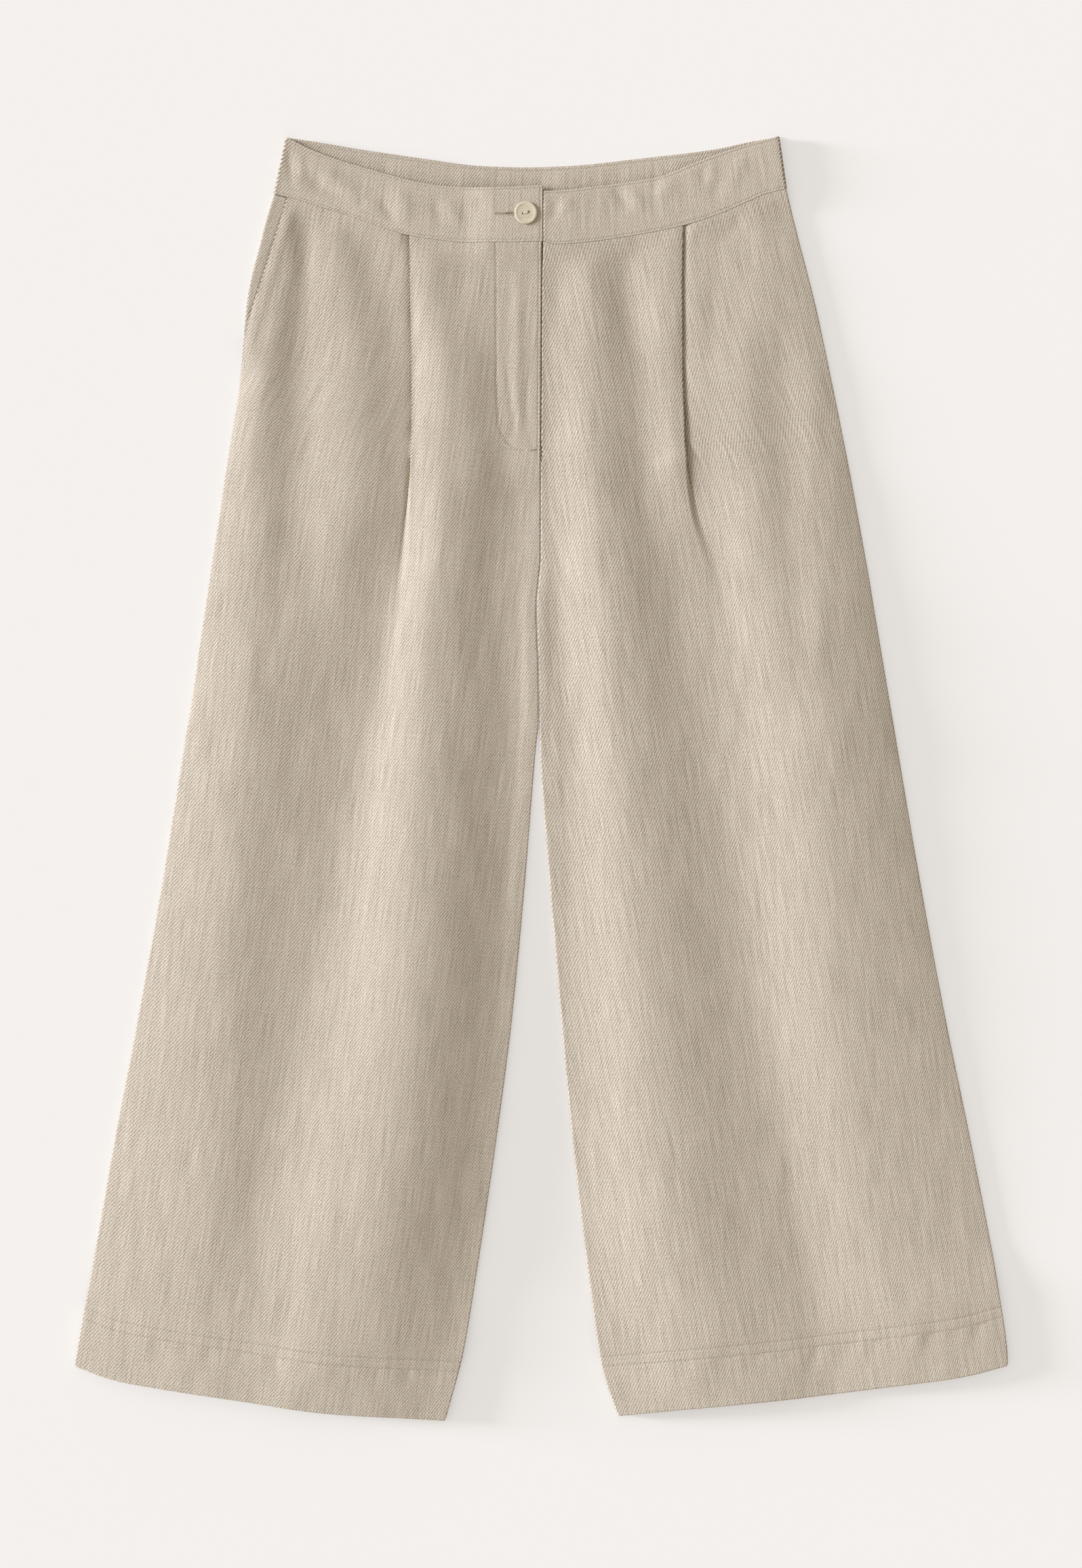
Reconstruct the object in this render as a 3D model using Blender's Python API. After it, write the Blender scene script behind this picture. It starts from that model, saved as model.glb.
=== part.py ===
"""Linen culottes laid flat, front up: waist towards +Y, the wearer's left towards +X, underside on z = 0.

Sizes are in millimetres and become metres where a mesh is made. A place on the garment is given by
"out", its distance from the centre line, and "down", its distance below the highest waist corner.
"""
import math
from collections import namedtuple

import bmesh
import bpy
from mathutils import Vector

MM = 0.001

# Driving sizes
LENGTH = 947.5          # highest waist corner to lowest hem corner
CLOTH = 1.0             # one layer of heavy linen twill
GAP = 0.3               # air between pieces, and between the layers of a fold
LAYER = CLOTH + GAP
BAND_CLOTH = 2.3        # outer band, its interfacing and its turned-under inside
HEM_DEPTH = 44.0
FLY_WIDTH = 36.0
FLY_END = 232.0         # how far down the fly facing and the underlap reach
FLY_UNDERLAP = 8.0
CROTCH = 327.0
CROTCH_BEND = 312.0     # where the centre seam starts to lean towards the legs' parting
LEGS_PART = 345.0       # where the two legs' inner edges have parted below the crotch
BAND_UNDERLAP = 32.0
POCKET_END = 150.0      # how far down the pocket's opening stands open
BUTTON_DIAMETER = 17.0
BUTTON_THICKNESS = 2.8
BUTTON_OUT = 11.4
BUTTON_DOWN = 57.0
BUTTON_ROUNDING = 0.9
BUTTON_RIM = 2.4
BUTTON_DISH = 0.7
BUTTON_HOLE_RADIUS = 0.9
BUTTON_HOLE_OFFSET = Vector((1.9, 0.55, 0.0))
BUTTONHOLE = Vector((20.0, 1.2, 12.0))
BUTTONHOLE_START = 2.0  # how far it runs on behind the button's middle

# Where the layers lie
REST = CLOTH + GAP + CLOTH / 2      # middle of a front panel where it lies on the back
BAND_REST = 2 * LAYER + BAND_CLOTH / 2
SEAM_GAP = 0.5          # between a straight-sided band edge and the panel's edge that it meets
SEAM_TRIES = 4          # steps that bring a panel's top edge onto the seam line
CLEAR = 4.0             # how far past a layer's edge the cloth over it starts to come down
HEM_FALL = 20.0         # length over which the face comes down above the hem's turn-up
FLY_FALL = 40.0         # width over which it comes down beside the fly facing
FLY_END_FALL = 36.0     # length over which it does below the facing
STRIP_FALL = 9.0        # width over which it comes down beside the pocket's strip
BAND_FALL = 22.0        # length over which the right band comes down past the left one's underlap
FACING_INSET = 1.2      # from the centre line to the fly facing's edge
FACING_SET_BACK = 0.8   # of the back band's inside below its outside
PLEAT_FALL = 30.0       # width over which the step at a pleat's fold fades inwards

# How finely the pieces are cut up
ROW_STEP = 42.0
BAND_STEP = 9.0
BAND_ROWS = (0.0, 0.06, 0.35, 0.65, 0.94, 1.0)
FLY_STEP = 26.0
RIM = 1.5               # from a side edge to its first column, which keeps the edge crisp
EDGE_INSET = 5.0        # from a side edge to its second column
OUTER_COLUMNS = 6
INNER_COLUMNS = 7
BACK_COLUMNS = 10
BEND_PIECES = 4
WRAP_PIECES = 6

LINEN = (0.53, 0.46, 0.37)
HORN = (0.62, 0.54, 0.38)

# Outlines of the two legs: a row per section
Outline = namedtuple("Outline", "down outer inner")
RIGHT_OUTLINE = (
    Outline(42, 197.2, -0.5), Outline(75, 206.8, -0.5), Outline(125, 217.8, -0.2),
    Outline(150, 219.8, 0.0), Outline(175, 221.9, 0.1), Outline(250, 233.3, 0.5),
    Outline(CROTCH_BEND, 242.7, 0.7), Outline(CROTCH, 245.0, 2.0),
    Outline(LEGS_PART, 247.7, 3.5), Outline(400, 255.8, 2.0), Outline(430, 260.5, 1.7),
    Outline(450, 263.8, 3.7), Outline(550, 279.8, 11.8),
    Outline(650, 297.8, 21.3), Outline(750, 316.8, 34.3), Outline(850, 334.3, 49.3),
    Outline(900, 343.3, 57.8), Outline(907, 344.25, 59.5), Outline(948, 344.25, 70.8),
)
LEFT_OUTLINE = (
    Outline(39, 180.8, 0.5), Outline(75, 189.8, 0.5), Outline(125, 202.6, 0.2),
    Outline(175, 213.3, -0.1), Outline(250, 228.3, -0.5), Outline(CROTCH_BEND, 239.6, -0.7),
    Outline(CROTCH, 242.3, -2.0), Outline(LEGS_PART, 245.2, -3.5), Outline(400, 254.4, -2.0),
    Outline(430, 259.5, -1.7), Outline(450, 262.8, -1.3), Outline(550, 279.8, 5.8), Outline(650, 298.3, 14.3),
    Outline(750, 318.8, 23.8), Outline(850, 337.3, 35.8), Outline(907, 344.25, 44.3),
    Outline(944, 344.25, 56.3),
)
# The right front's side edge, inside the outline until the pocket ends
PocketEdge = namedtuple("PocketEdge", "down out")
POCKET_EDGE = (
    PocketEdge(42, 186.8), PocketEdge(75, 196.8), PocketEdge(110, 207.8),
    PocketEdge(125, 213.0), PocketEdge(138, 217.0), PocketEdge(POCKET_END, 219.8),
)

# Edges that run across: "out" is measured along the edge
Edge = namedtuple("Edge", "out down")
RIGHT_BAND_TOP = (
    Edge(-1, 36.5), Edge(41, 38), Edge(69, 37), Edge(90, 34), Edge(111, 28.5), Edge(138, 21),
    Edge(167, 11), Edge(188.2, 0.5),
)
RIGHT_SEAM = (
    Edge(-1, 78), Edge(27, 78.5), Edge(55, 78.5), Edge(83, 75.5), Edge(98, 73), Edge(119, 66.5),
    Edge(139, 59.5), Edge(162, 52.5), Edge(184, 45.5), Edge(197.2, 42.5),
)
RIGHT_HEM = (
    Edge(70.8, LENGTH), Edge(92, 946), Edge(158, 941.5), Edge(226, 932), Edge(285, 923),
    Edge(315, 917.5), Edge(344.25, 907.5),
)
LEFT_BAND_TOP = (
    Edge(-BAND_UNDERLAP, 40), Edge(1, 40.5), Edge(17, 40), Edge(33, 38), Edge(61, 34.5),
    Edge(89, 29.5), Edge(110, 21), Edge(131, 13), Edge(149, 7), Edge(175.2, 0),
)
LEFT_SEAM = (
    Edge(-BAND_UNDERLAP, 77), Edge(-1, 77.5), Edge(12, 80), Edge(33, 78.5), Edge(61, 74.5),
    Edge(89, 69.5), Edge(110, 64.5), Edge(131, 57.5), Edge(152, 48.5), Edge(166, 42.5),
    Edge(180.8, 39),
)
LEFT_HEM = (
    Edge(56.3, 944), Edge(96, 940), Edge(139, 936), Edge(191, 931), Edge(267, 921.5),
    Edge(310, 915.5), Edge(344.25, 907),
)
# The back's edges run right across, from the right side (negative) to the left side
BACK_BAND_TOP = (
    Edge(-188.2, 0.5), Edge(-168, 3.5), Edge(-132, 9.5), Edge(-91, 15.5), Edge(-44, 21.5),
    Edge(-13, 22.5), Edge(19, 21.5), Edge(77, 15.5), Edge(126, 9.5), Edge(155, 3.5), Edge(175.2, 0),
)
BACK_SEAM = (
    Edge(-197.2, 43), Edge(-184, 46.2), Edge(-132, 53), Edge(-44, 63.5), Edge(-13, 64.5),
    Edge(19, 63.5), Edge(77, 57.5), Edge(126, 50.5), Edge(180.8, 39),
)

# One pleat on each front: "out" is its visible folded edge, "layer" the cloth folded under,
# "turn" the angle of its two bends and "bend" their length. It opens as it runs into the leg
Pleat = namedtuple("Pleat", "down out layer turn bend")
RIGHT_PLEAT = (
    Pleat(70, 96.9, 12, 180, 2.1), Pleat(205, 95.1, 5, 180, 2.1), Pleat(245, 95.8, 0.8, 110, 2.2),
    Pleat(290, 98, 0.5, 45, 3), Pleat(345, 103.5, 0.5, 14, 5), Pleat(420, 112, 0.5, 4, 6),
    Pleat(950, 190, 0.5, 3, 6),
)
LEFT_PLEAT = (
    Pleat(60, 103.8, 12, 180, 2.1), Pleat(110, 102.4, 11, 180, 2.1), Pleat(165, 102.6, 9, 180, 2.1),
    Pleat(225, 104.1, 6, 180, 2.1), Pleat(265, 106.5, 1.2, 125, 2.3), Pleat(292, 114.5, 0.6, 60, 3),
    Pleat(325, 126, 0.5, 22, 4.5),
    Pleat(430, 140, 0.5, 4, 6), Pleat(950, 190, 0.5, 3, 6),
)

# Soft folds along the legs: a row where each changes, with how far it spreads to either side.
# The side fold rolls over to the side edge, so it has no outward spread of its own
Fold = namedtuple("Fold", "down out outward inward height")
RIGHT_FOLDS = {
    "side": (
        Fold(45, 178, 0, 13, 1.6), Fold(110, 193, 0, 23, 4.6), Fold(180, 205, 0, 35, 5.5),
        Fold(260, 212, 0, 47, 5.4), Fold(350, 213, 0, 62, 7.2), Fold(450, 218, 0, 74, 9.0),
        Fold(600, 233, 0, 75, 9.0), Fold(780, 245, 0, 84, 9.5), Fold(950, 255, 0, 90, 5.0),
    ),
    "hip": (
        Fold(45, 159, 20, 31, 1.6), Fold(110, 149, 37, 34, 4.3), Fold(180, 140, 50, 43, 5.4),
        Fold(260, 141, 50, 48, 6.5), Fold(350, 158, 43, 47, 3.8), Fold(450, 162, 42, 46, 1.6),
        Fold(600, 167, 42, 41, 2.3), Fold(780, 175, 43, 38, 2.0), Fold(950, 173, 41, 39, 1.0),
    ),
    "crease": (
        Fold(45, 80, 18, 35, 0.0), Fold(110, 77, 22, 40, 2.4), Fold(180, 68, 29, 43, 6.8),
        Fold(260, 67, 31, 49, 8.6), Fold(350, 77, 38, 61, 9.6), Fold(450, 85, 52, 77, 12.4),
        Fold(600, 92, 79, 83, 16.0), Fold(780, 117, 103, 94, 17.0), Fold(950, 155, 110, 102, 6.0),
    ),
}
LEFT_FOLDS = {
    "side": (
        Fold(45, 161, 0, 22, 1.5), Fold(110, 179, 0, 30, 1.8), Fold(180, 197, 0, 36, 2.4),
        Fold(260, 202, 0, 54, 4.3), Fold(350, 203, 0, 80, 7.6), Fold(450, 207, 0, 75, 9.6),
        Fold(600, 216, 0, 69, 9.0), Fold(780, 244, 0, 67, 5.2), Fold(950, 290, 0, 64, 1.0),
    ),
    "hip": (
        Fold(45, 157, 19, 33, 0.2), Fold(110, 157, 26, 38, 2.2), Fold(180, 153, 35, 44, 4.5),
        Fold(260, 155, 33, 38, 5.8), Fold(350, 165, 30, 40, 3.0), Fold(450, 173, 31, 42, 0.2),
        Fold(600, 176, 32, 44, 0.2), Fold(780, 179, 34, 45, 0.6), Fold(950, 180, 35, 45, 0.2),
    ),
    "inner": (
        Fold(45, 37, 24, 28, 1.4), Fold(110, 39, 31, 31, 3.2), Fold(180, 39, 45, 36, 5.9),
        Fold(260, 41, 57, 38, 8.3), Fold(350, 50, 66, 40, 9.7), Fold(450, 59, 75, 43, 10.3),
        Fold(600, 74, 87, 60, 12.2), Fold(780, 95, 102, 75, 12.6), Fold(950, 132, 95, 89, 3.5),
    ),
}
# The low lip along the inside leg, where the seam turns up and rolls over
Lip = namedtuple("Lip", "down width height")
RIGHT_LIP = (
    Lip(280, 12, 0.0), Lip(330, 13, 0.6), Lip(400, 15, 1.0), Lip(500, 16, 0.85), Lip(620, 13, 0.3),
    Lip(700, 12, 0.0), Lip(950, 12, 0.0),
)
LEFT_LIP = (
    Lip(280, 11, 0.0), Lip(330, 11, 0.6), Lip(400, 11, 0.6), Lip(460, 10, 0.0), Lip(950, 10, 0.0),
)
LIP_CREST = 0.4         # share of a lip's width from the edge to its crest
LIP_EDGE = 0.6          # share of its height that is left at the edge
# Low swells along the two halves of the front band
Swell = namedtuple("Swell", "out spread height")
RIGHT_SWELLS = (Swell(150, 22, 1.4), Swell(86, 12, 0.9))
LEFT_SWELLS = (Swell(62, 14, 1.2), Swell(120, 24, 1.2))

# Outer edge of the fly facing, which ends in a curve
FlyEdge = namedtuple("FlyEdge", "down out")
FLY_EDGE = (
    FlyEdge(79, FLY_WIDTH), FlyEdge(185, FLY_WIDTH), FlyEdge(210, 34.0), FlyEdge(222, 29.0),
    FlyEdge(229, 22.0), FlyEdge(FLY_END, 13.0),
)
# The right back's side edge at the pocket: the strip that lies over on the front, and its bend
Wrap = namedtuple("Wrap", "down strip turn")
POCKET_WRAP = (
    Wrap(42, 11.5, 180), Wrap(110, 10.5, 180), Wrap(128, 7.0, 180), Wrap(142, 4.0, 180),
    Wrap(152, 2.5, 180), Wrap(160, 1.0, 90), Wrap(167, 0.6, 0), Wrap(950, 0.6, 0),
)
WRAP_BEND = 3.2         # length of cloth in the bend
WRAP_RISE = 2.2         # how far the front's edge rises to lie on the strip
STRIP_WIDTH = 10.0      # of the strip that it lies on


def clamp(value):
    return min(max(value, 0.0), 1.0)


def ease(value):
    """0 below 0, 1 above 1, and a smooth step between."""
    value = clamp(value)
    return value * value * (3 - 2 * value)


def curve(table, column, along=0):
    """A smooth line through one named column of a table, which never swings past its rows."""
    xs = [row[along] for row in table]
    ys = [getattr(row, column) for row in table]
    steps = [(b - a) / (d - c) for a, b, c, d in zip(ys, ys[1:], xs, xs[1:])]
    middle = [2 * a * b / (a + b) if a * b > 0 else 0.0 for a, b in zip(steps, steps[1:])]
    slopes = [steps[0]] + middle + [steps[-1]]

    def at(x):
        if x <= xs[0]:
            return ys[0]
        if x >= xs[-1]:
            return ys[-1]
        i = max(k for k in range(len(xs) - 1) if xs[k] <= x)
        width = xs[i + 1] - xs[i]
        t = (x - xs[i]) / width
        start = ys[i] * (1 + 2 * t) + width * slopes[i] * t
        end = ys[i + 1] * (3 - 2 * t) - width * slopes[i + 1] * (1 - t)
        return start * (1 - t) ** 2 + end * t ** 2

    return at


def curves(table):
    """The curve of every column of a table but its first, by name."""
    return {name: curve(table, name) for name in table[0]._fields[1:]}


def world(side, out, down, z):
    """A point in metres. Side is -1 for the wearer's right and +1 for the left."""
    return Vector((side * out, LENGTH / 2 - down, z)) * MM


def even(first, last, count):
    """Stops that divide a length into equal parts, both ends included."""
    return [first + (last - first) * i / count for i in range(count + 1)]


def stops(first, last, step, events):
    """Even stops from first to last, with the events among them in place of stops close by."""
    between = even(first, last, round((last - first) / step))[1:-1]
    kept = [stop for stop in between if all(abs(stop - event) > step / 3 for event in events)]
    return sorted([first, last] + kept + list(events))


def lip_profile(near):
    """Share of a lip's height, from the leg's edge at 0 to the lip's inner side at 1."""
    if near < LIP_CREST:
        return 1 - (1 - LIP_EDGE) * (1 - clamp(near / LIP_CREST)) ** 2
    return 0.5 + 0.5 * math.cos(math.pi * clamp((near - LIP_CREST) / (1 - LIP_CREST)))


class Leg:
    """One leg's outline, pleat and folds, as functions of out and down."""

    def __init__(self, side, outline, hem, pleat, folds, lip, levels_under):
        self.side = side
        self.outer = curve(outline, "outer")
        self.inner_line = curve(outline, "inner")
        self.hem = curve(hem, "down")
        self.pleat = curves(pleat)
        self.folds = {name: curves(rows) for name, rows in folds.items()}
        self.lip = curves(lip)
        self.levels_under = levels_under

    def inner(self, down):
        return self.inner_line(down) + GAP / 2

    def height(self, out, down):
        """Middle of the front's face layer above the table."""
        z = REST + self.levels_under(out, down)
        for name, fold in self.folds.items():
            crest = fold["out"](down)
            spread = fold["outward"](down) if out > crest else fold["inward"](down)
            profile = 0.5 + 0.5 * math.cos(math.pi * clamp(abs(out - crest) / max(spread, 1.0)))
            if name == "side" and out > crest:
                profile = (1 - clamp((out - crest) / (self.outer(down) - crest)) ** 1.5) ** 0.9
            z += fold["height"](down) * profile
        z += self.lip["height"](down) * lip_profile((out - self.inner(down)) / self.lip["width"](down))
        above_hem = self.hem(out) - down
        return z + 2 * LAYER * ease((HEM_DEPTH + CLEAR + HEM_FALL - above_hem) / HEM_FALL)


class Panel:
    """A front or a back of a leg between its four edges, measured in shares of width and length."""

    def __init__(self, leg, seam, outer=None, inner=None):
        self.leg = leg
        self.outer = outer or leg.outer
        self.inner = inner or leg.inner
        near_top = seam(leg.outer(0))
        self.top_outs = self.outer(near_top), self.inner(near_top)
        self.bottom_outs = self.outer(LENGTH), self.inner(LENGTH)
        self.seam = seam
        self.rows = self.row_shares()

    def row_shares(self):
        """Shares of the length with a row each. The hem's turn-up starts between two of them."""
        top, bottom = self.down_at(1, 0), self.down_at(1, 1)
        events = (FLY_END - CLEAR, FLY_END + 2 * CLEAR, CROTCH_BEND, CROTCH, LEGS_PART)
        turn_up = bottom - HEM_DEPTH
        rows = stops(top, turn_up - HEM_FALL, ROW_STEP, events)
        rows += [turn_up - CLEAR / 2, turn_up, turn_up + HEM_DEPTH / 2, bottom]
        return [(down - top) / (bottom - top) for down in rows]

    def layers(self, turned_up):
        """For each row, the cloth to one side of the layer's middle, with the turn-up if it is there."""
        hem_rows = 3 if turned_up else 0
        plain_rows = len(self.rows) - hem_rows
        return [CLOTH / 2] * plain_rows + [CLOTH / 2 + LAYER] * hem_rows

    def width(self, down):
        return self.outer(down) - self.inner(down)

    def down_at(self, share, length_share):
        top = self.seam(self.top_outs[0] + share * (self.top_outs[1] - self.top_outs[0]))
        for _ in range(SEAM_TRIES):
            top = self.seam(self.outer(top) - share * self.width(top))
        top += SEAM_GAP
        bottom_out = self.bottom_outs[0] + share * (self.bottom_outs[1] - self.bottom_outs[0])
        return top + length_share * (self.leg.hem(bottom_out) - top)

    def place(self, share, length_share):
        """The (out, down) at a share of the width, from the side, and of the length."""
        down = self.down_at(share, length_share)
        return self.outer(down) - share * self.width(down), down


pocket_edge = curve(POCKET_EDGE, "out")


def right_levels(out, down):
    """The right front rises over the fly facing with the underlap, and over the pocket's strip."""
    beside_fly = ease((FLY_WIDTH + CLEAR + FLY_FALL - out) / FLY_FALL)
    below_fly = ease((FLY_END + 2 * CLEAR + FLY_END_FALL - down) / FLY_END_FALL)
    beside_strip = ease((out - pocket_edge(down) + STRIP_WIDTH + CLEAR) / STRIP_FALL)
    below_strip = ease((POCKET_END + CLEAR + HEM_FALL - down) / HEM_FALL)
    return 2 * LAYER * beside_fly * below_fly + WRAP_RISE * beside_strip * below_strip


def no_levels(out, down):
    return 0.0


def right_front_edge(down):
    return pocket_edge(down) if down < POCKET_END else RIGHT.outer(down)


def left_front_edge(down):
    """The left front runs on under the right front as far as the fly goes."""
    return LEFT.inner(down) - FLY_UNDERLAP * ease((FLY_END + 2 * CLEAR - down) / (3 * CLEAR))


RIGHT = Leg(-1, RIGHT_OUTLINE, RIGHT_HEM, RIGHT_PLEAT, RIGHT_FOLDS, RIGHT_LIP, right_levels)
LEFT = Leg(1, LEFT_OUTLINE, LEFT_HEM, LEFT_PLEAT, LEFT_FOLDS, LEFT_LIP, no_levels)


def bent(lengths, headings):
    """Points (across, up, heading) along cloth that turns through the headings over the lengths."""
    across = up = 0.0
    points = [(0.0, 0.0, headings[0])]
    for length, before, after in zip(lengths, headings, headings[1:]):
        middle = (before + after) / 2
        across += length * math.cos(middle)
        up += length * math.sin(middle)
        points.append((across, up, after))
    return points


def pleat_section(layer, turn, bend):
    """The cloth from deepest under the pleat to its visible folded edge: a bend, a layer, a bend back."""
    rising = [math.radians(turn) * i / BEND_PIECES for i in range(BEND_PIECES + 1)]
    bend_lengths = [bend / BEND_PIECES] * BEND_PIECES
    return bent(bend_lengths + [layer] + bend_lengths, rising + rising[::-1])


def front_section(panel, down):
    """Across one row of a front, from the side inwards: (across, lift above the folds, heading)."""
    layer, turn, bend = (panel.leg.pleat[name](down) for name in ("layer", "turn", "bend"))
    path = pleat_section(layer, turn, bend)
    fold = panel.outer(down) - panel.leg.pleat["out"](down)
    start = fold - path[-1][0]
    pitch = max(layer / 2, 2.0)
    width = panel.width(down)
    first, last = start - 2 * pitch, fold + 2 * pitch
    outer_run = [0.0, RIM] + even(EDGE_INSET, first, OUTER_COLUMNS) + [start - pitch]
    inner_run = [fold + pitch] + even(last, width - EDGE_INSET, INNER_COLUMNS) + [width - RIM, width]
    step_up = path[-1][1]
    section = [(across, 0.0, 0.0) for across in outer_run]
    section += [(start + across, up, heading) for across, up, heading in path]
    section += [(across, step_up * ease(1 - (across - last) / PLEAT_FALL), 0.0) for across in inner_run]
    return section


def front_rows(panel):
    """Rows of (out, down, z, heading) at the middle of a front's face layer."""
    height = panel.leg.height
    rows = []
    for length_share in panel.rows:
        middle = panel.down_at(0.5, length_share)
        row = []
        for across, lift, heading in front_section(panel, middle):
            out, down = panel.place(across / panel.width(middle), length_share)
            slope = height(out - 0.5, down) - height(out + 0.5, down)
            rise = math.sin(heading) + slope * math.cos(heading)
            heading = math.atan2(rise, math.cos(heading))
            row.append((out, down, height(out, down) + lift, heading))
        rows.append(row)
    return rows


def back_section(width, down, wrap):
    """Across one row of a back: (across, z, heading), with a strip bent over at the pocket side."""
    middle = CLOTH / 2
    flat = [(across, middle, 0.0) for across in even(2 * CLEAR, width, BACK_COLUMNS)]
    if not wrap:
        return [(0.0, middle, 0.0), (RIM, middle, 0.0)] + flat
    turn = math.radians(wrap["turn"](down))
    headings = even(0.0, turn, WRAP_PIECES) + [turn]
    path = bent([WRAP_BEND / WRAP_PIECES] * WRAP_PIECES + [wrap["strip"](down)], headings)
    reach = max(across for across, up, heading in path) + CLOTH / 2
    return [(reach - across, middle + up, -heading) for across, up, heading in reversed(path)] + flat


def back_rows(panel, wrap):
    """Rows of (out, down, z, heading) at the middle of a back's cloth, flat on the table."""
    rows = []
    for length_share in panel.rows:
        middle = panel.down_at(0.5, length_share)
        row = []
        for across, z, heading in back_section(panel.width(middle), middle, wrap):
            out, down = panel.place(across / panel.width(middle), length_share)
            row.append((out, down, z, heading))
        rows.append(row)
    return rows


def faces_of(side, rows, face_thickness, inner_thickness):
    """Both faces of the cloth, as grids of points, from its middle and a thickness each way per row."""
    upper, lower = [], []
    for row, above, below in zip(rows, face_thickness, inner_thickness):
        leans = [(math.sin(heading), math.cos(heading)) for out, down, z, heading in row]
        upper.append([world(side, out + lean * above, down, z + stand * above)
                      for (out, down, z, heading), (lean, stand) in zip(row, leans)])
        lower.append([world(side, out - lean * below, down, z - stand * below)
                      for (out, down, z, heading), (lean, stand) in zip(row, leans)])
    return upper, lower


def plain_material(name, colour, roughness):
    material = bpy.data.materials.new(name)
    material.use_nodes = True
    shader = material.node_tree.nodes["Principled BSDF"]
    shader.inputs["Base Color"].default_value = (*colour, 1.0)
    shader.inputs["Roughness"].default_value = roughness
    shader.inputs["Metallic"].default_value = 0.0
    return material


def add_object(name, shape, material, parent):
    """Turn a bmesh into a named object with its material."""
    bmesh.ops.recalc_face_normals(shape, faces=shape.faces)
    mesh = bpy.data.meshes.new(name)
    shape.to_mesh(mesh)
    shape.free()
    mesh.materials.append(material)
    item = bpy.data.objects.new(name, mesh)
    bpy.context.scene.collection.objects.link(item)
    item.parent = parent
    return item


def add_cloth(name, upper, lower, parent):
    """One closed body of linen from two equal grids of points, joined around their rims."""
    shape = bmesh.new()
    top = [[shape.verts.new(point) for point in row] for row in upper]
    under = [[shape.verts.new(point) for point in row] for row in lower]
    last_row = len(top) - 1
    last_column = len(top[0]) - 1
    for i in range(last_row):
        for j in range(last_column):
            shape.faces.new((top[i][j], top[i + 1][j], top[i + 1][j + 1], top[i][j + 1]))
            shape.faces.new((under[i][j], under[i][j + 1], under[i + 1][j + 1], under[i + 1][j]))
    rim = [(0, j) for j in range(last_column)]
    rim += [(i, last_column) for i in range(last_row)]
    rim += [(last_row, j) for j in range(last_column, 0, -1)]
    rim += [(i, 0) for i in range(last_row, 0, -1)]
    for (a, b), (c, d) in zip(rim, rim[1:] + rim[:1]):
        shape.faces.new((top[a][b], top[c][d], under[c][d], under[a][b]))
    bmesh.ops.triangulate(shape, faces=shape.faces)
    return add_object(name, shape, plain_material(name + "_linen", LINEN, 0.9), parent)


def make_front(name, panel, parent):
    """The hem's turn-up lies under the face layer, inside the leg."""
    grids = faces_of(panel.leg.side, front_rows(panel), panel.layers(False), panel.layers(True))
    return add_cloth(name, *grids, parent)


def make_back(name, panel, wrap, parent):
    """A back lies flat. Its hem's turn-up lies on top, inside the leg."""
    grids = faces_of(panel.leg.side, back_rows(panel, wrap), panel.layers(True), panel.layers(False))
    return add_cloth(name, *grids, parent)


def make_band(name, side, top, seam, middle_height, thickness, parent, set_back=0.0):
    """A strip of the waistband between its top edge and its seam, on a height that varies along it."""
    top_line, seam_line = curve(top, "down"), curve(seam, "down")
    columns = round((seam[-1].out - seam[0].out) / BAND_STEP)
    upper, lower = [], []
    for share_down in BAND_ROWS:
        upper.append([])
        lower.append([])
        for share in even(0.0, 1.0, columns):
            top_out = top[0].out + (top[-1].out - top[0].out) * share
            seam_out = seam[0].out + (seam[-1].out - seam[0].out) * share
            first = top_line(top_out) + set_back
            out = top_out + share_down * (seam_out - top_out)
            down = first + share_down * (seam_line(seam_out) - first)
            z = middle_height(out, share_down)
            upper[-1].append(world(side, out, down, z + thickness / 2))
            lower[-1].append(world(side, out, down, z - thickness / 2))
    return add_cloth(name, upper, lower, parent)


def swell_height(swells, out, share_down):
    along = sum(swell.height * math.exp(-((out - swell.out) / swell.spread) ** 2) for swell in swells)
    return along * math.sin(math.pi * share_down)


def right_band_height(out, share_down):
    """The right half climbs over the left half's underlap at the centre."""
    climb = (BAND_CLOTH + GAP) * ease((BAND_UNDERLAP + CLEAR + BAND_FALL - out) / BAND_FALL)
    return BAND_REST + climb + swell_height(RIGHT_SWELLS, out, share_down)


def left_band_height(out, share_down):
    return BAND_REST + swell_height(LEFT_SWELLS, out, share_down)


def back_band_height(out, share_down):
    return CLOTH / 2


def facing_height(out, share_down):
    return CLOTH / 2 + LAYER


def cut_out(name, shape, target, parent):
    """Cut a hidden shape out of a piece."""
    cutter = add_object(name, shape, target.data.materials[0], parent)
    cutter.hide_render = True
    cutter.display_type = "WIRE"
    cut = target.modifiers.new(name, "BOOLEAN")
    cut.operation = "DIFFERENCE"
    cut.solver = "EXACT"
    cut.object = cutter


def cut_buttonhole(band, parent):
    """A slit from just beyond the button's middle outwards, through both layers of the band."""
    shape = bmesh.new()
    bmesh.ops.create_cube(shape, size=1.0)
    bmesh.ops.scale(shape, vec=BUTTONHOLE * MM, verts=shape.verts)
    middle_out = BUTTON_OUT + BUTTONHOLE.x / 2 - BUTTONHOLE_START
    centre = world(-1, middle_out, BUTTON_DOWN, BAND_REST)
    bmesh.ops.translate(shape, vec=centre, verts=shape.verts)
    cut_out("buttonhole_cutter", shape, band, parent)


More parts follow.
